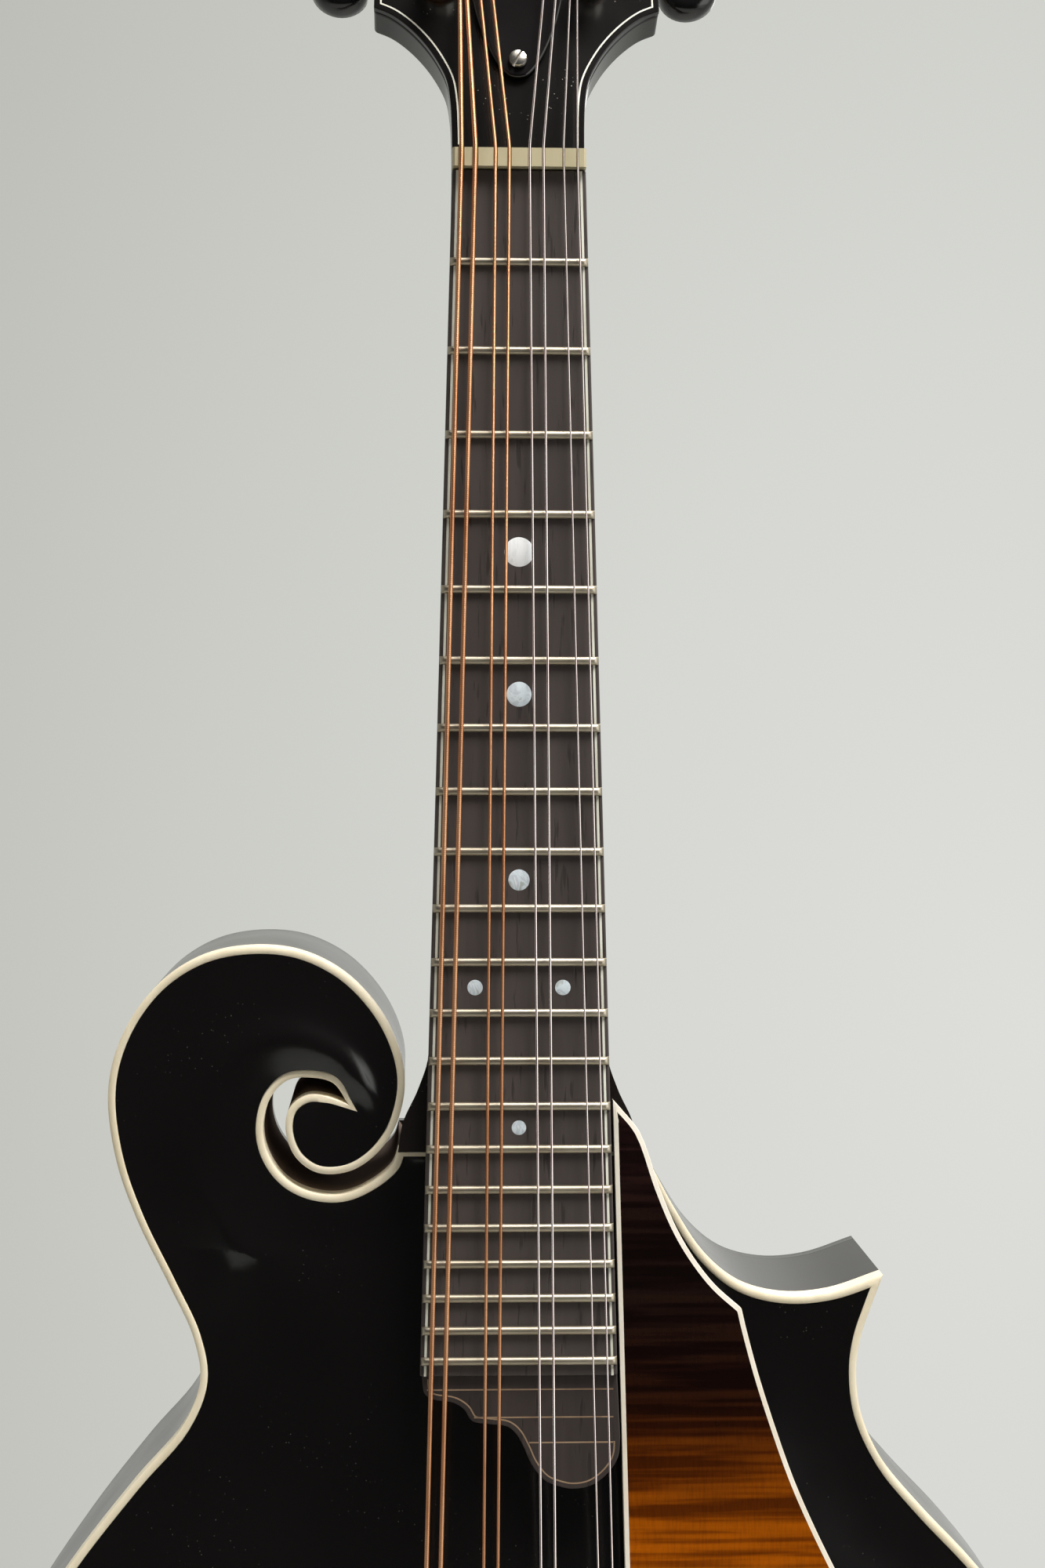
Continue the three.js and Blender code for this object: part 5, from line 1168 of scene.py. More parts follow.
def nut_piece():
    """A bone bar with a rounded front edge and a notch under each string."""
    top = -BOARD_THICKNESS - NUT_RISE
    slot_floor = FRET_TOP_Y - NUT_CLEARANCE + NOTCH_FLOOR_GAP
    half = NUT_WIDTH / 2
    line = [(-half, top + NUT_CORNER), (-half + NUT_CORNER, top)]
    for number, radius in enumerate(STRING_RADII):
        x = string_across(number, STRING_SPREAD_NUT)
        reach = radius + NOTCH_SIDE_GAP
        line += [(x - reach - NOTCH_SIDE_GAP, top), (x - reach, top + NOTCH_CHAMFER)]
        line += [(x + reach * math.cos(a), slot_floor - reach + reach * math.sin(a))
                 for a in np.linspace(math.pi, 0, NOTCH_STEPS)]
        line += [(x + reach, top + NOTCH_CHAMFER), (x + reach + NOTCH_SIDE_GAP, top)]
    line += [(half - NUT_CORNER, top), (half, top + NUT_CORNER), (half, 0), (-half, 0)]
    bar = loft([[(x, y, z) for x, y in line] for z in (0, NUT_THICKNESS)], on_neck)
    add_piece("nut_bar", *bar, "bone", replaces=("nut",), slot="bone")


nut_piece()

TAIL_WIDTH, TAIL_LENGTH, TAIL_SHEET, TAIL_LIFT, TAIL_FOOT, TAIL_LEG = 38.0, 86.0, 1.2, 16.5, 3.5, 32.0
HOOK_HEIGHT, HOOK_RADIUS, HOOKS_SHARE, ANCHOR_SHARE = 4.0, 0.9, 0.7, 0.8
TAIL_TOP_Z = TAIL_Z + TAIL_LENGTH
TAIL_LEG_Z = TAIL_Z - SEAT_GAP
FOOT_Y, LIFT_Y = FACE_Y - TAIL_FOOT, FACE_Y - TAIL_LIFT
HOOKS_Z = TAIL_Z + HOOKS_SHARE * TAIL_LENGTH


def tail_plate_y(z):
    return FOOT_Y + (LIFT_Y - FOOT_Y) * (z - TAIL_Z) / TAIL_LENGTH


HOOK_FOOT_Y = tail_plate_y(HOOKS_Z) - TAIL_SHEET
# For each string its side, and its post's row counted from the nut
SIDES = [-1, -1, -1, -1, 1, 1, 1, 1]
POST_ROW = [0, 1, 2, 3, 3, 2, 1, 0]
WOUND_RUN_SHARE, WOUND_TURNS, WOUND_STEPS, WOUND_SIDES = 0.45, 2, 24, 8
WOUND_POST_GAP, WOUND_TURN_GAP = 0.12, 0.5
WIRE_CORNER, WIRE_SIDES = 1.2, 12
HEAD_RUN_Y = -OVERLAY_THICKNESS - WOUND_RUN_SHARE * POST_RISE


def post_z(number):
    return FIRST_POST + POST_ROW[number] * POST_SPACING


def string_path(number):
    """From the hook over the bridge and the nut to the turns round the post."""
    radius, side = STRING_RADII[number], SIDES[number]
    anchor = np.array([string_across(number, HOOK_SPREAD), HOOK_FOOT_Y - ANCHOR_SHARE * HOOK_HEIGHT - radius,
                       HOOKS_Z + HOOK_RADIUS + SEAT_GAP])
    path = [anchor, string_at(number, STRING_SPREAD_BRIDGE, STRING_HEIGHT_BRIDGE, -SCALE_LENGTH),
            string_at(number, STRING_SPREAD_NUT, NUT_CLEARANCE, LEDGE_Z)]
    turn_radius = (POST_RADIUS + radius + WOUND_POST_GAP) / math.cos(math.pi / WOUND_SIDES)
    for step in range(WOUND_TURNS * WOUND_STEPS + 1):
        turns = step / WOUND_STEPS
        x = side * (POST_ACROSS - turn_radius * math.cos(2 * math.pi * turns))
        z = post_z(number) + turn_radius * math.sin(2 * math.pi * turns)
        path.append(on_head([x, HEAD_RUN_Y + turns * (2 * radius + WOUND_TURN_GAP), z]))
    return path


def softened(path, corner):
    """The path with its corners at the bridge and the nut bent over a short way."""
    out = [path[0]]
    for before, point, after in (path[:3], path[1:4]):
        first, last = (point + corner * (other - point) / np.linalg.norm(other - point)
                       for other in (before, after))
        out += [first, (first + 2 * point + last) / 4, last]
    return out + path[3:]


for number, course in enumerate(COURSES):
    wound = number < 4
    shape = tube(softened(string_path(number), WIRE_CORNER), STRING_RADII[number], WIRE_SIDES)
    material = ("wound_thick" if number < 2 else "wound_thin") if wound else "plain_string"
    add_piece(f"wire_{course}", *shape, material, replaces=(f"string_{course}",),
              slot="bronze_wound" if wound else "plain_steel", smooth_angle=60)

# Tuners
GEAR_TEETH, GEAR_PITCH, GEAR_WIDTH, GEAR_ADDENDUM, GEAR_DEDENDUM = 15, 1.8, 2.4, 0.5, 0.8
WORM_PITCH_RADIUS, WORM_TURNS, WORM_SHAFT_RADIUS, LUG_LENGTH, PLATE_OFFSET = 2.0, 2.5, 1.25, 4.0, 1.5
TUNER_PLATE_LENGTH, TUNER_PLATE_WIDTH, TUNER_PLATE_THICKNESS = 88.0, 17.0, 1.0
BUTTON_ACROSS, BUTTON_RADII = 33.1, (7.0, 3.5, 7.2)
GEAR_RADIUS = GEAR_TEETH * GEAR_PITCH / (2 * math.pi)
WORM_OFFSET = GEAR_RADIUS + WORM_PITCH_RADIUS
PLATE_FRONT_Y = HEAD_BACK_Y + SEAT_GAP
PLATE_BACK_Y = PLATE_FRONT_Y + TUNER_PLATE_THICKNESS
WORM_TIP = WORM_PITCH_RADIUS + GEAR_ADDENDUM
GEAR_Y = PLATE_BACK_Y + WORM_TIP + SEAT_GAP
WORM_HALF = WORM_TURNS * GEAR_PITCH / 2
LUG_INNER = POST_ACROSS + WORM_HALF + GEAR_PITCH / 2
TUNER_MIDDLE = FIRST_POST + (POST_ROWS - 1) / 2 * POST_SPACING + WORM_OFFSET / 2
PLATE_CORNER, PLATE_CORNER_STEPS, PLATE_SCREW_INSET = 3.0, 6, 2.6
LUG_SIDE_CUT, LUG_TOP_CUT, LUG_SUNK, LUG_STEPS = 0.1, 0.3, 0.2, 9
# Round parts as (radius, height) pairs
PLATE_SCREW_PROFILE = [(1.5, -0.1), (1.5, 0.25), (1.1, 0.6), (0.5, 0.75)]
POST_PROFILE = [(1.2, 0), (2.4, 0), (3.0, 0.6), (3.0, 3.2), (2.55, 4.0), (2.4, 5.4), (2.55, 7.0), (3.0, 7.8)]
GEAR_SCREW_PROFILE = [(1.9, -0.2), (1.9, 0.5), (1.3, 0.9), (0.5, 0.95)]
COLLAR_PROFILE = [(1.7, 0), (2.1, 0.5), (2.1, 1.3), (1.6, 2.0)]
COLLAR_IN, POST_LAP = 1.3, 0.2
# A tooth's corners, as shares of the gear's pitch from its middle: two at the tip and two at the root
TIP_SHARES, ROOT_SHARES = (-0.12, 0.12), (0.38, 0.62)
WORM_STEPS, WORM_ROOT_SHARE, WORM_FOOT, WORM_CREST = 16, 0.8, 0.54, 0.14
SHAFT_END_RADIUS, SHAFT_END_LENGTH = 0.9, 0.3
# The button's half section, as shares of its half thickness and of its reach
BUTTON_SHARES = [(-1.0, 0.5), (-0.97, 0.72), (-0.82, 0.9), (-0.5, 0.985)]
BUTTON_SHARES += [(0, 1.0), *((-level, reach) for level, reach in reversed(BUTTON_SHARES))]
BUTTON_SIDES, BUTTON_SINK_SHARE, BUTTON_WAIST_SHARE, BUTTON_WAIST_POWER = 40, 0.7, 0.1, 3


def rounded_box_line(left, right, low, high, radius):
    line = []
    for cx, cz, start in ((right - radius, high - radius, 0), (left + radius, high - radius, 90),
                          (left + radius, low + radius, 180), (right - radius, low + radius, 270)):
        for angle in np.radians(start + np.linspace(0, 90, PLATE_CORNER_STEPS + 1)):
            line.append((cx + radius * math.cos(angle), cz + radius * math.sin(angle)))
    return line


def tuner_plate(side, side_name):
    """The plate behind the head, with a bearing lug for each shaft and two screws."""
    x = side * (POST_ACROSS + PLATE_OFFSET)
    low, high = (TUNER_MIDDLE + end * TUNER_PLATE_LENGTH / 2 for end in (-1, 1))
    line = rounded_box_line(x - TUNER_PLATE_WIDTH / 2, x + TUNER_PLATE_WIDTH / 2, low, high, PLATE_CORNER)
    shapes = [prism(line, PLATE_FRONT_Y, PLATE_BACK_Y, on_head)]
    half = WORM_TIP - LUG_SIDE_CUT
    ends = sorted((side * LUG_INNER, side * (LUG_INNER + LUG_LENGTH)))
    for row in range(POST_ROWS):
        worm_z = FIRST_POST + row * POST_SPACING + WORM_OFFSET
        foot_y = PLATE_BACK_Y - LUG_SUNK
        arc = [(worm_z + half * math.cos(a), GEAR_Y + (WORM_TIP - LUG_TOP_CUT) * math.sin(a))
               for a in np.linspace(0, math.pi, LUG_STEPS)]
        profile = [(worm_z + half, foot_y), *arc, (worm_z - half, foot_y)]
        shapes.append(loft([[(end, y, z) for z, y in profile] for end in ends], on_head))
    add_piece(f"machine_plate_{side_name}", *joined_shapes(*shapes), "nickel",
              replaces=(f"tuner_plate_{side_name}",), slot="nickel", soft_edge=0.2, soft_steps=2)
    screws = [lathe(PLATE_SCREW_PROFILE, (x, PLATE_BACK_Y, z), BACKWARD, 20, on_head)
              for z in (low + PLATE_SCREW_INSET, high - PLATE_SCREW_INSET)]
    add_piece(f"plate_screws_{side_name}", *joined_shapes(*screws), "nickel", slot="nickel")


def gear_shape(x, z):
    tip, root = GEAR_RADIUS + GEAR_ADDENDUM, GEAR_RADIUS - GEAR_DEDENDUM
    corners = [(share, tip) for share in TIP_SHARES] + [(share, root) for share in ROOT_SHARES]
    line = []
    for tooth in range(GEAR_TEETH):
        for share, radius in corners:
            angle = math.pi / 2 + (tooth + share) * 2 * math.pi / GEAR_TEETH
            line.append((x + radius * math.cos(angle), z + radius * math.sin(angle)))
    return prism(line, GEAR_Y - GEAR_WIDTH / 2, GEAR_Y + GEAR_WIDTH / 2, on_head)


def post_piece(course, side, z):
    """The post with its gear and the screw that holds the gear."""
    x = side * POST_ACROSS
    top = -OVERLAY_THICKNESS - POST_RISE
    profile = [*POST_PROFILE, (POST_RADIUS, GEAR_Y - GEAR_WIDTH / 2 + POST_LAP - top)]
    hub = lathe(GEAR_SCREW_PROFILE, (x, GEAR_Y + GEAR_WIDTH / 2, z), BACKWARD, 20, on_head)
    add_piece(f"post_{course}", *lathe(profile, (x, top, z), BACKWARD, 28, on_head), "nickel",
              body=f"post_{course}", replaces=(f"tuner_post_{course}",), slot="nickel")
    add_piece(f"gear_{course}", *gear_shape(x, z), "brass", body=f"post_{course}", slot="nickel",
              smooth_angle=20)
    add_piece(f"gear_screw_{course}", *hub, "nickel", body=f"post_{course}", slot="nickel")


def worm_rings(x, worm_z):
    """Sections of the worm's thread, from its left end to its right one."""
    foot, crest = np.array([WORM_FOOT, 0, 0]), np.array([WORM_CREST, 0, 0])
    rings = []
    for step in range(int(WORM_TURNS * WORM_STEPS) + 1):
        angle = 2 * math.pi * step / WORM_STEPS
        middle = np.array([x - WORM_HALF + step * GEAR_PITCH / WORM_STEPS, GEAR_Y, worm_z])
        out = np.array([0, math.cos(angle), math.sin(angle)])
        low, tip = middle + out * WORM_SHAFT_RADIUS * WORM_ROOT_SHARE, middle + out * WORM_TIP
        rings.append([low + foot, tip + crest, tip - crest, low - foot])
    return rings


def button_rings(side, centre):
    """Sections of the button through its thickness, a little fuller away from the shaft."""
    wide, thick, tall = BUTTON_RADII
    rings = []
    for level, reach in BUTTON_SHARES:
        ring = []
        for a in round_angles(BUTTON_SIDES):
            bulge = 1 - BUTTON_WAIST_SHARE * max(0.0, -side * math.cos(a)) ** BUTTON_WAIST_POWER
            ring.append(centre + [wide * reach * bulge * math.cos(a), thick * level,
                                  tall * reach * math.sin(a)])
        rings.append(ring)
    return rings


def shaft_piece(course, side, z):
    """The worm on its shaft, and the button, flat between two domed faces."""
    body = f"shaft_{course}"
    x, worm_z = side * POST_ACROSS, z + WORM_OFFSET
    inner, outer = side * (2 * POST_ACROSS - LUG_INNER), side * BUTTON_ACROSS
    profile = [(SHAFT_END_RADIUS, 0), (WORM_SHAFT_RADIUS, SHAFT_END_LENGTH),
               (WORM_SHAFT_RADIUS, abs(outer - inner))]
    core = lathe(profile, (inner, GEAR_Y, worm_z), (side, 0, 0), 18, on_head)
    add_piece(f"worm_{course}", *joined_shapes(core, loft(worm_rings(x, worm_z), on_head)), "nickel",
              body=body, replaces=(f"tuner_shaft_{course}",), slot="tuner_metal", smooth_angle=30)
    centre = np.array([outer + side * BUTTON_RADII[0] * BUTTON_SINK_SHARE, GEAR_Y, worm_z])
    add_piece(f"button_{course}", *loft(button_rings(side, centre), on_head), "button_black", body=body,
              slot="tuner_metal", smooth_angle=60)
    collar = lathe(COLLAR_PROFILE, (outer - side * COLLAR_IN, GEAR_Y, worm_z), (side, 0, 0), 20, on_head)
    add_piece(f"collar_{course}", *collar, "nickel", body=body, slot="tuner_metal")


tuner_plate(-1, "bass")
tuner_plate(1, "treble")
for number, course in enumerate(COURSES):
    post_piece(course, SIDES[number], post_z(number))
    shaft_piece(course, SIDES[number], post_z(number))

# Bridge
BRIDGE_LENGTH, BRIDGE_BASE_WIDTH, BRIDGE_BASE_HEIGHT = 116.0, 10.0, 4.6
SADDLE_LENGTH, SADDLE_WIDTH, SADDLE_TRAVEL = 110.0, 6.0, 1.5
WHEEL_RADIUS, WHEEL_THICKNESS, STUD_RADIUS, STUD_SPREAD, STUD_PAST_WHEEL = 6.5, 1.6, 1.5, 74.0, 2.0
BRIDGE_POINT = string_at(0, STRING_SPREAD_BRIDGE, STRING_HEIGHT_BRIDGE, -SCALE_LENGTH)
SADDLE_TOP_Y = BRIDGE_POINT[1] + STRING_RADII[0] + SEAT_GAP
BRIDGE_LOW_Z = BRIDGE_POINT[2]


def arch_front(x, z):
    return FACE_Y - TOP_ARCH * float(arch_share([(x, z)])[0])


CROWN_Y = arch_front(0, BRIDGE_LOW_Z)
BASE_FRONT_Y = CROWN_Y - SEAT_GAP - BRIDGE_BASE_HEIGHT
WHEEL_BACK_Y = BASE_FRONT_Y - SADDLE_TRAVEL - SEAT_GAP
WHEEL_FRONT_Y = WHEEL_BACK_Y - WHEEL_THICKNESS
SADDLE_BACK_Y = WHEEL_FRONT_Y - SEAT_GAP
STUD_FRONT_Y = SADDLE_BACK_Y - STUD_PAST_WHEEL
BASE_HEIGHT_SHARES = [[-0.5, 0.35], [-0.44, 0.6], [-0.34, 1], [0, 1], [0.34, 1], [0.44, 0.6], [0.5, 0.35]]
BASE_SECTIONS, BASE_NARROW_SHARE, BASE_NARROW_POWER, BASE_CHAMFER_DEPTH, BASE_CHAMFER = 61, 0.25, 4, 0.6, 0.7
THREAD_PITCH, THREAD_DEPTH, STUD_SUNK = 0.5, 0.18, 0.4
SADDLE_HEIGHT_SHARES = [
    [-0.5, 0.55], [-0.42, 0.75], [-0.3, 0.95], [-0.2, 1], [0.2, 1], [0.3, 0.95], [0.42, 0.75], [0.5, 0.55],
]
SADDLE_SECTIONS, SADDLE_SHOULDER_SHARE, SADDLE_CREST = 71, 0.35, 1.1
# A knurl's corners, as shares of its pitch and how deep each lies
KNURLS, KNURL_DEPTH = 40, 0.35
KNURL_SHARES = [(0, 0), (0.35, 0), (0.5, KNURL_DEPTH), (0.85, KNURL_DEPTH)]


def bridge_base():
    """A long foot fitted to the arch, thinner towards its ends, with two threaded studs."""
    rings = []
    for x in np.linspace(-0.5, 0.5, BASE_SECTIONS) * BRIDGE_LENGTH:
        share = float(smooth_table(BASE_HEIGHT_SHARES, x / BRIDGE_LENGTH))
        front = max(CROWN_Y - SEAT_GAP - share * BRIDGE_BASE_HEIGHT, BASE_FRONT_Y)
        narrow = BASE_NARROW_SHARE * (abs(x) / BRIDGE_LENGTH * 2) ** BASE_NARROW_POWER
        half = BRIDGE_BASE_WIDTH / 2 * (1 - narrow)
        side = [(half, arch_front(x, BRIDGE_LOW_Z + half) - SEAT_GAP), (half, front + BASE_CHAMFER_DEPTH),
                (half - BASE_CHAMFER, front)]
        other = [(-half, arch_front(x, BRIDGE_LOW_Z - half) - SEAT_GAP), *((-out, y) for out, y in side[1:])]
        rings.append([(x, y, BRIDGE_LOW_Z + out) for out, y in other + side[::-1]])
    add_piece("bridge_foot", *loft(rings), "bridge_ebony", replaces=("bridge_base",), slot="ebony")
    height = BASE_FRONT_Y + STUD_SUNK - STUD_FRONT_Y
    profile = []
    for step in range(int(height / THREAD_PITCH)):
        crest = step * THREAD_PITCH
        profile += [(STUD_RADIUS, crest), (STUD_RADIUS - THREAD_DEPTH, crest + THREAD_PITCH / 2)]
    profile.append((STUD_RADIUS, height))
    studs = [lathe(profile, (side * STUD_SPREAD / 2, STUD_FRONT_Y, BRIDGE_LOW_Z), BACKWARD, 20)
             for side in (-1, 1)]
    add_piece("bridge_studs", *joined_shapes(*studs), "brass", slot="brass")


def saddle():
    height = SADDLE_BACK_Y - SADDLE_TOP_Y
    half = SADDLE_WIDTH / 2
    rings = []
    for x in np.linspace(-0.5, 0.5, SADDLE_SECTIONS) * SADDLE_LENGTH:
        share = min(float(smooth_table(SADDLE_HEIGHT_SHARES, x / SADDLE_LENGTH)), 1.0)
        side = [(half, 0), (half, SADDLE_SHOULDER_SHARE), (SADDLE_CREST, share)]
        section = [(-out, rise) for out, rise in side] + side[::-1]
        rings.append([(x, SADDLE_BACK_Y - rise * height, BRIDGE_LOW_Z + out) for out, rise in section])
    add_piece("saddle_bar", *loft(rings), "bridge_ebony", body="saddle", replaces=("bridge_saddle",),
              slot="ebony")


def thumb_wheel(name, side):
    """A wheel with a knurled rim."""
    line = []
    for knurl in range(KNURLS):
        for turn, depth in KNURL_SHARES:
            angle, radius = (knurl + turn) * 2 * math.pi / KNURLS, WHEEL_RADIUS - depth
            line.append((side * STUD_SPREAD / 2 + radius * math.cos(angle),
                         BRIDGE_LOW_Z + radius * math.sin(angle)))
    add_piece(f"wheel_{name}", *prism(line, WHEEL_FRONT_Y, WHEEL_BACK_Y), "brass", body=f"wheel_{name}",
              replaces=(f"thumbwheel_{name}",), slot="brass", smooth_angle=20)


bridge_base()
saddle()
thumb_wheel("bass", -1)
thumb_wheel("treble", 1)

# Tailpiece
HOOK_SUNK = 0.4
# A hook's profile, as shares of its radius and of its height
HOOK_SHARES = [(1, 0), (1, 0.8), (0.8, 0.95), (0.4, 1)]
SHELL_HEIGHT, SHELL_SHEET, SHELL_LOW_SHARE, SHELL_HIGH_SHARE, SHELL_SECTIONS = 7.5, 1.0, 0.08, 0.96, 24
# The shell's bent edge, in from its side and down from its top, and how its end near the tail droops
SHELL_EDGE = [(0, 3.0), (0.9, 0.9), (3.0, 0)]
SHELL_DROOP, SHELL_DROOP_SHARE = 1.5, 0.08


def tail_base():
    """The sloping plate with its leg down the tail, and a hook for each string."""
    leg_back = TAIL_LEG_Z - TAIL_SHEET
    profile = [
        (TAIL_TOP_Z, LIFT_Y), (TAIL_TOP_Z, LIFT_Y - TAIL_SHEET), (leg_back, FOOT_Y - TAIL_SHEET),
        (leg_back, FOOT_Y + TAIL_LEG), (TAIL_LEG_Z, FOOT_Y + TAIL_LEG), (TAIL_LEG_Z, FOOT_Y),
    ]
    plate = loft([[(side * TAIL_WIDTH / 2, y, z) for z, y in profile] for side in (-1, 1)])
    add_piece("tail_plate", *plate, "nickel", replaces=("tailpiece_base",), slot="nickel", soft_edge=0.35)
    profile = [(HOOK_RADIUS * out, HOOK_HEIGHT * up) for out, up in HOOK_SHARES]
    places = [(string_across(number, HOOK_SPREAD), HOOK_FOOT_Y + HOOK_SUNK, HOOKS_Z)
              for number in range(len(STRING_RADII))]
    hooks = [lathe(profile, place, FORWARD, 16) for place in places]
    add_piece("tail_hooks", *joined_shapes(*hooks), "nickel", slot="nickel")


def tail_cover():
    """A bent sheet cover, open towards the bridge, with rounded edges and a drooping end."""
    low, high = (TAIL_Z + share * TAIL_LENGTH for share in (SHELL_LOW_SHARE, SHELL_HIGH_SHARE))
    foot = TAIL_SHEET + SEAT_GAP
    half = TAIL_WIDTH / 2
    side = [(half, foot), *((half - inward, SHELL_HEIGHT - down) for inward, down in SHELL_EDGE)]
    section = [(-x, h) for x, h in side] + side[::-1]
    inner = [(x * (1 - SHELL_SHEET / half), h if h == foot else h - SHELL_SHEET)
             for x, h in reversed(section)]
    rings = []
    for z in np.linspace(low, high, SHELL_SECTIONS):
        left = max(1 - (z - low) / (high - low) / SHELL_DROOP_SHARE, 0)
        droop = SHELL_DROOP * left ** 2
        rings.append([(x, tail_plate_y(z) - (h - droop if h > foot else h), z) for x, h in section + inner])
    end = [[(x, tail_plate_y(z) - max(h - SHELL_DROOP, foot), z) for x, h in section]
           for z in (low, low + SHELL_SHEET)]
    add_piece("tail_cover_shell", *joined_shapes(loft(rings), loft(end)), "nickel", body="tail_cover",
              replaces=("tailpiece_cover",), slot="nickel", soft_edge=0.25, soft_steps=2)


tail_base()
tail_cover()

# End pin: a turned head, and a stem that sits in the tail block
PIN_RADIUS, PIN_LENGTH, PIN_STEM, PIN_TIP, PIN_STEP = 4.6, 17.0, 17.0, 0.4, 0.02
PIN_HEAD = [
    (6.0, 0.0), (7.2, 0.7), (7.5, 2.0), (7.5, 4.6), (6.6, 6.9), (5.1, 9.3), (5.25, 12.6), (6.4, 14.8),
    (7.1, 15.6), (7.1, PIN_LENGTH),
]
PIN_HEAD_STEPS = 3
pin_place = (0, (RIB_FRONT_Y + RIB_BACK_Y) / 2, TAIL_LEG_Z - TAIL_SHEET - GLUE_LINE - PIN_LENGTH)
pin_profile = [(PIN_TIP, 0), *smooth_curve(PIN_HEAD, PIN_HEAD_STEPS).tolist(),
               (PIN_RADIUS, PIN_LENGTH + PIN_STEP), (PIN_RADIUS, PIN_LENGTH + PIN_STEM)]
add_piece("pin", *lathe(pin_profile, pin_place, UP, 40), "button_black", replaces=("end_pin",),
          slot="black_plastic")

# Pickguard: flamed maple inside a strip of binding
GUARD_WIDTH, GUARD_THICKNESS, GUARD_BELOW, GUARD_SIDE_GAP, GUARD_PAST_JOIN = 60.0, 2.4, 2.0, 0.7, 10.0
GUARD_ABOVE_BRIDGE = 8.4
GUARD_TOP_Z = -fret_distance(JOIN_FRET) + GUARD_PAST_JOIN
GUARD_LENGTH = GUARD_TOP_Z + SCALE_LENGTH - GUARD_ABOVE_BRIDGE
GUARD_SHARES = [
    [0.35, 0.01], [0.42, 0.045], [0.49, 0.123], [0.547, 0.177], [0.605, 0.217], [0.683, 0.257],
    [0.773, 0.289], [0.788, 0.315], [0.83, 0.378], [0.883, 0.445], [0.95, 0.521], [1.018, 0.584],
    [1.092, 0.645], [1.183, 0.716], [1.258, 0.789], [1.267, 0.863], [1.183, 0.923], [1.033, 0.949],
    [0.75, 0.959], [0.5, 0.963],
]
GUARD_CORNER, GUARD_STEPS, GUARD_BOARD_POINTS, GUARD_LOW_SHARE = 6, 5, 30, 0.95
STRIP_WIDTH, STRIP_EDGE_LOW, STRIP_MITRE, STRIP_LAP = 1.1, 0.15, 1.7, 0.1
INLAY_LOW, GUARD_CELL = 0.02, 6.0


def guard_piece():
    front = -BOARD_THICKNESS + GUARD_BELOW
    back = front + GUARD_THICKNESS
    points = [(a * GUARD_WIDTH, GUARD_TOP_Z - d * GUARD_LENGTH) for a, d in GUARD_SHARES]
    outer = np.vstack([smooth_curve(points[:GUARD_CORNER + 1], GUARD_STEPS)[:-1],
                       smooth_curve(points[GUARD_CORNER:], GUARD_STEPS)])
    low_z = GUARD_TOP_Z - GUARD_LOW_SHARE * GUARD_LENGTH
    inner = [(board_half(-z) + GUARD_SIDE_GAP, z)
             for z in np.linspace(low_z, GUARD_TOP_Z, GUARD_BOARD_POINTS)]
    line = np.vstack([outer, inner])
    way, stretch = ways_in(line)
    inside = line + way * (STRIP_WIDTH * np.minimum(stretch, STRIP_MITRE))[:, None]
    rings = [[(x, y, z) for x, z in ring] for ring, y in (
        (line, front + STRIP_EDGE_LOW), (line, back), (inside, back), (inside, front))]
    add_piece("guard_binding", *loft(rings, on_neck, looped=True), "guard_binding", slot="cream_binding",
              smooth_angle=40, soft_edge=0.12, soft_steps=2)
    flat, triangles = triangulated([inset_line(line, STRIP_WIDTH - STRIP_LAP)], GUARD_CELL)
    fronts, backs = (np.full(len(flat), y) for y in (front + INLAY_LOW, back))
    points, faces = sheet_solid(flat, triangles, fronts, backs)
    add_piece("guard", on_neck(points), faces, "guard_maple", replaces=("pickguard",), slot="guard_wood")


guard_piece()

# The CAD's own solids that stay, each with its material
KEPT = {
    "head_block": "side_lacquer", "tail_block": "maple", "point_block": "maple", "scroll_block": "maple",
    "tone_bar_bass": "spruce", "tone_bar_treble": "spruce", "truss_rod": "steel", "truss_rod_nut": "brass",
    "pickguard_bracket": "nickel",
}
for node, material in KEPT.items():
    mesh = frame["nodes"][node].data
    mesh.materials.clear()
    mesh.materials.append(MATERIALS[material])

# Floor, world and lamps


FLOOR_REACH, FLOOR_FADE_FROM, FLOOR_FADE_TO_SHARE = 800.0, 420.0, 0.97
FLOOR_MIDDLE, FLOOR_DEPTH, FLOOR_Z = 0.4, 2.0, -545.0


def floor():
    """A pale round floor that fades into the background at its edge."""
    m = Shader("floor")
    profile = [(FLOOR_MIDDLE, 0), (FLOOR_FADE_FROM, 0), (FLOOR_REACH, 0), (FLOOR_REACH, -FLOOR_DEPTH)]
    piece = mesh_object("floor", *lathe(profile, (0, 0, FLOOR_Z), UP, 96), m.material)
    m.set(Base_Color=m.ramp(m.noise(180, 4), [(0.3, srgb(186, 186, 181)), (0.7, srgb(191, 191, 186))]),
          Roughness=0.8, Specular_IOR_Level=0.2)
    away = m.vector("LENGTH", m.vector("MULTIPLY", m.place, (1, 1, 0)))
    fade = m.spread(away, FLOOR_FADE_FROM * MM, FLOOR_REACH * MM * FLOOR_FADE_TO_SHARE)
    seen = m.rays("Is Camera Ray", "Is Glossy Ray", "Is Transmission Ray")
    glow = m.add("ShaderNodeEmission", {"Color": srgb(192, 193, 187)}).outputs["Emission"]
    shown = m.choose(m.times(fade, seen), m.surface.outputs["BSDF"], glow)
    m.feed(m.nodes["Material Output"].inputs["Surface"], shown)


# The backdrop is brightest to the right of the object and a little below its middle
BACKDROP_BRIGHTEST = (0.225, 0.967, -0.115)
BACKDROP_REACH = (1 / 0.19, 0, 1 / 0.285)
BACKDROP = [
    (0.0, srgb(222, 222, 218)), (0.38, srgb(214, 215, 210)), (0.7, srgb(203, 204, 198)),
    (1.0, srgb(189, 190, 184)),
]
SOFT_LIGHT, SOFT_STRENGTH = (0.66, 0.655, 0.64, 1), 0.3
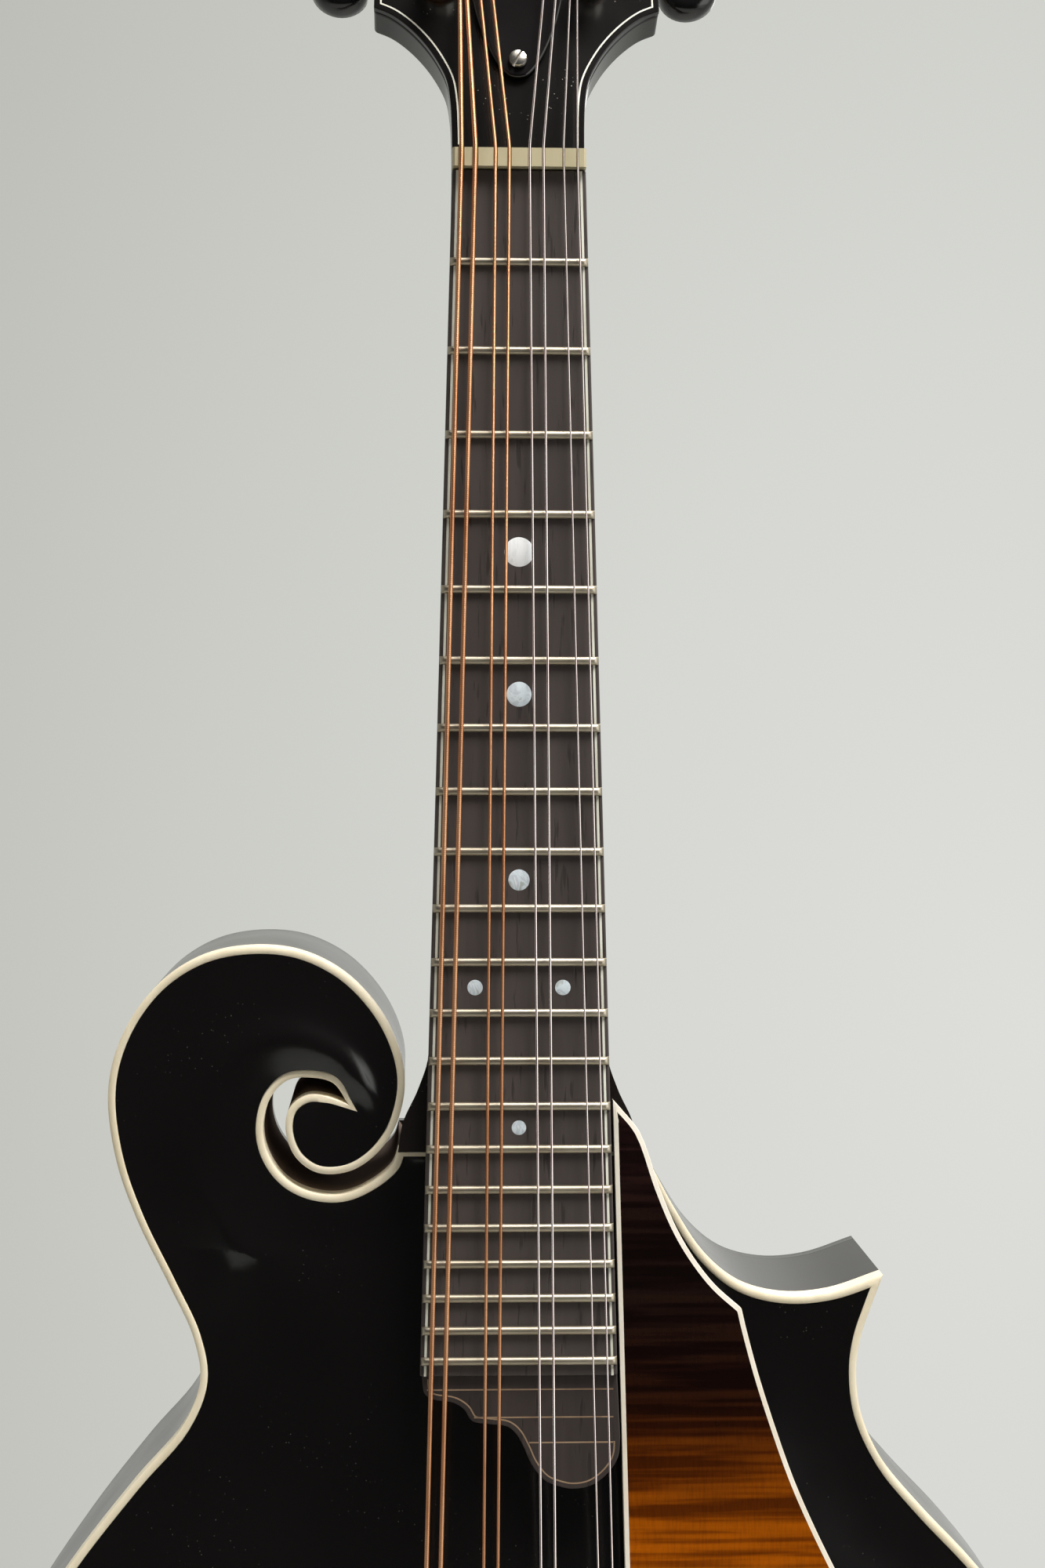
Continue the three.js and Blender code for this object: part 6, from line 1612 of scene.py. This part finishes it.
# What metal and lacquer mirror in front of the object, as grey levels from left to right: the same dark
# room with a lighter left side, and a bright right side that is dimmer high up and low down
ROOM = [(0.0, 0.35), (0.12, 0.35), (0.24, 0.05), (0.76, 0.05)]
ROOM_DIM = [*ROOM, (0.84, 1.2), (1.0, 0.9)]
ROOM_BRIGHT = [*ROOM, (0.84, 2.6), (0.97, 2.2), (1.0, 1.2)]
ROOM_HEIGHT = [(0.3, BLACK), (0.36, WHITE), (0.7, WHITE), (0.8, BLACK)]


def world():
    """A pale backdrop behind, an even soft light all round, and a dark room in front with bright sides."""
    sky = bpy.data.worlds.new("surround")
    bpy.context.scene.world = sky
    sky.use_nodes = True
    sky.node_tree.nodes.clear()
    w = Nodes(sky.node_tree, "Generated")

    def glow(color, strength=1.0):
        return w.add("ShaderNodeBackground", {"Color": color, "Strength": strength}).outputs["Background"]

    def ramp(source, low, high, stops):
        return w.ramp(w.spread(source, low, high), stops, smooth=False)

    def room(levels):
        return glow(ramp(w.axis("X"), -1.0, 1.0, [(at, (grey, grey, 0.97 * grey)) for at, grey in levels]))

    away = w.vector("MULTIPLY", w.vector("SUBTRACT", w.place, BACKDROP_BRIGHTEST), BACKDROP_REACH)
    backdrop = glow(ramp(w.vector("LENGTH", away), 0.0, 2.3, BACKDROP))
    front = w.choose(ramp(w.axis("Z"), -1.0, 1.0, ROOM_HEIGHT), room(ROOM_DIM), room(ROOM_BRIGHT))
    behind = ramp(w.axis("Y"), -0.2, 0.25, [(0.0, BLACK), (1.0, WHITE)])
    mirrored = w.choose(behind, front, backdrop)
    lit = w.choose(w.rays("Is Glossy Ray"), glow(SOFT_LIGHT, SOFT_STRENGTH), mirrored)
    shown = w.choose(w.rays("Is Camera Ray", "Is Transmission Ray"), lit, backdrop)
    w.add("ShaderNodeOutputWorld", {"Surface": shown})


LAMP_COLOR = (1, 0.985, 0.96)


def lamp(name, place, aim, width, height, power):
    light = bpy.data.lights.new(name, "AREA")
    light.shape = "RECTANGLE"
    light.size = width
    light.size_y = height
    light.energy = power
    light.color = LAMP_COLOR
    holder = bpy.data.objects.new(name, light)
    bpy.context.scene.collection.objects.link(holder)
    holder.location = place
    holder.rotation_euler = (Vector(aim) - Vector(place)).to_track_quat("-Z", "Y").to_euler()


floor()
world()
lamp("key", (0.6, -0.54, 1.73), (0, 0, -0.25), 0.9, 0.75, 81.0)
lamp("rear", (0.5, 0.9, 0.5), (0, 0, -0.3), 0.9, 0.7, 3.6)

# Camera: placed so that the frets, the nut and the strings lie as they do in the photograph
CAMERA_PLACE = Vector((-0.022196, -0.584384, -0.110171))
CAMERA_RIGHT = Vector((0.99919287, -0.04005553, 0.00302601))
CAMERA_DOWN = Vector((0.00174392, -0.03200405, -0.99948622))
CAMERA_AHEAD = Vector((0.04013179, 0.99868478, -0.03190837))
FOCAL_PIXELS = 3507.0
IMAGE_HEIGHT = 2000.0
SENSOR = 36.0
CLIP_START = 0.01


def camera():
    lens = bpy.data.cameras.new("camera")
    lens.sensor_fit = "VERTICAL"
    lens.sensor_height = SENSOR
    lens.lens = FOCAL_PIXELS / IMAGE_HEIGHT * SENSOR
    lens.clip_start = CLIP_START
    viewer = bpy.data.objects.new("camera", lens)
    bpy.context.scene.collection.objects.link(viewer)
    turn = Matrix((CAMERA_RIGHT, -CAMERA_DOWN, -CAMERA_AHEAD)).transposed().to_4x4()
    viewer.matrix_world = Matrix.Translation(CAMERA_PLACE) @ turn
    bpy.context.scene.camera = viewer


camera()
bpy.context.scene.view_settings.view_transform = "Standard"
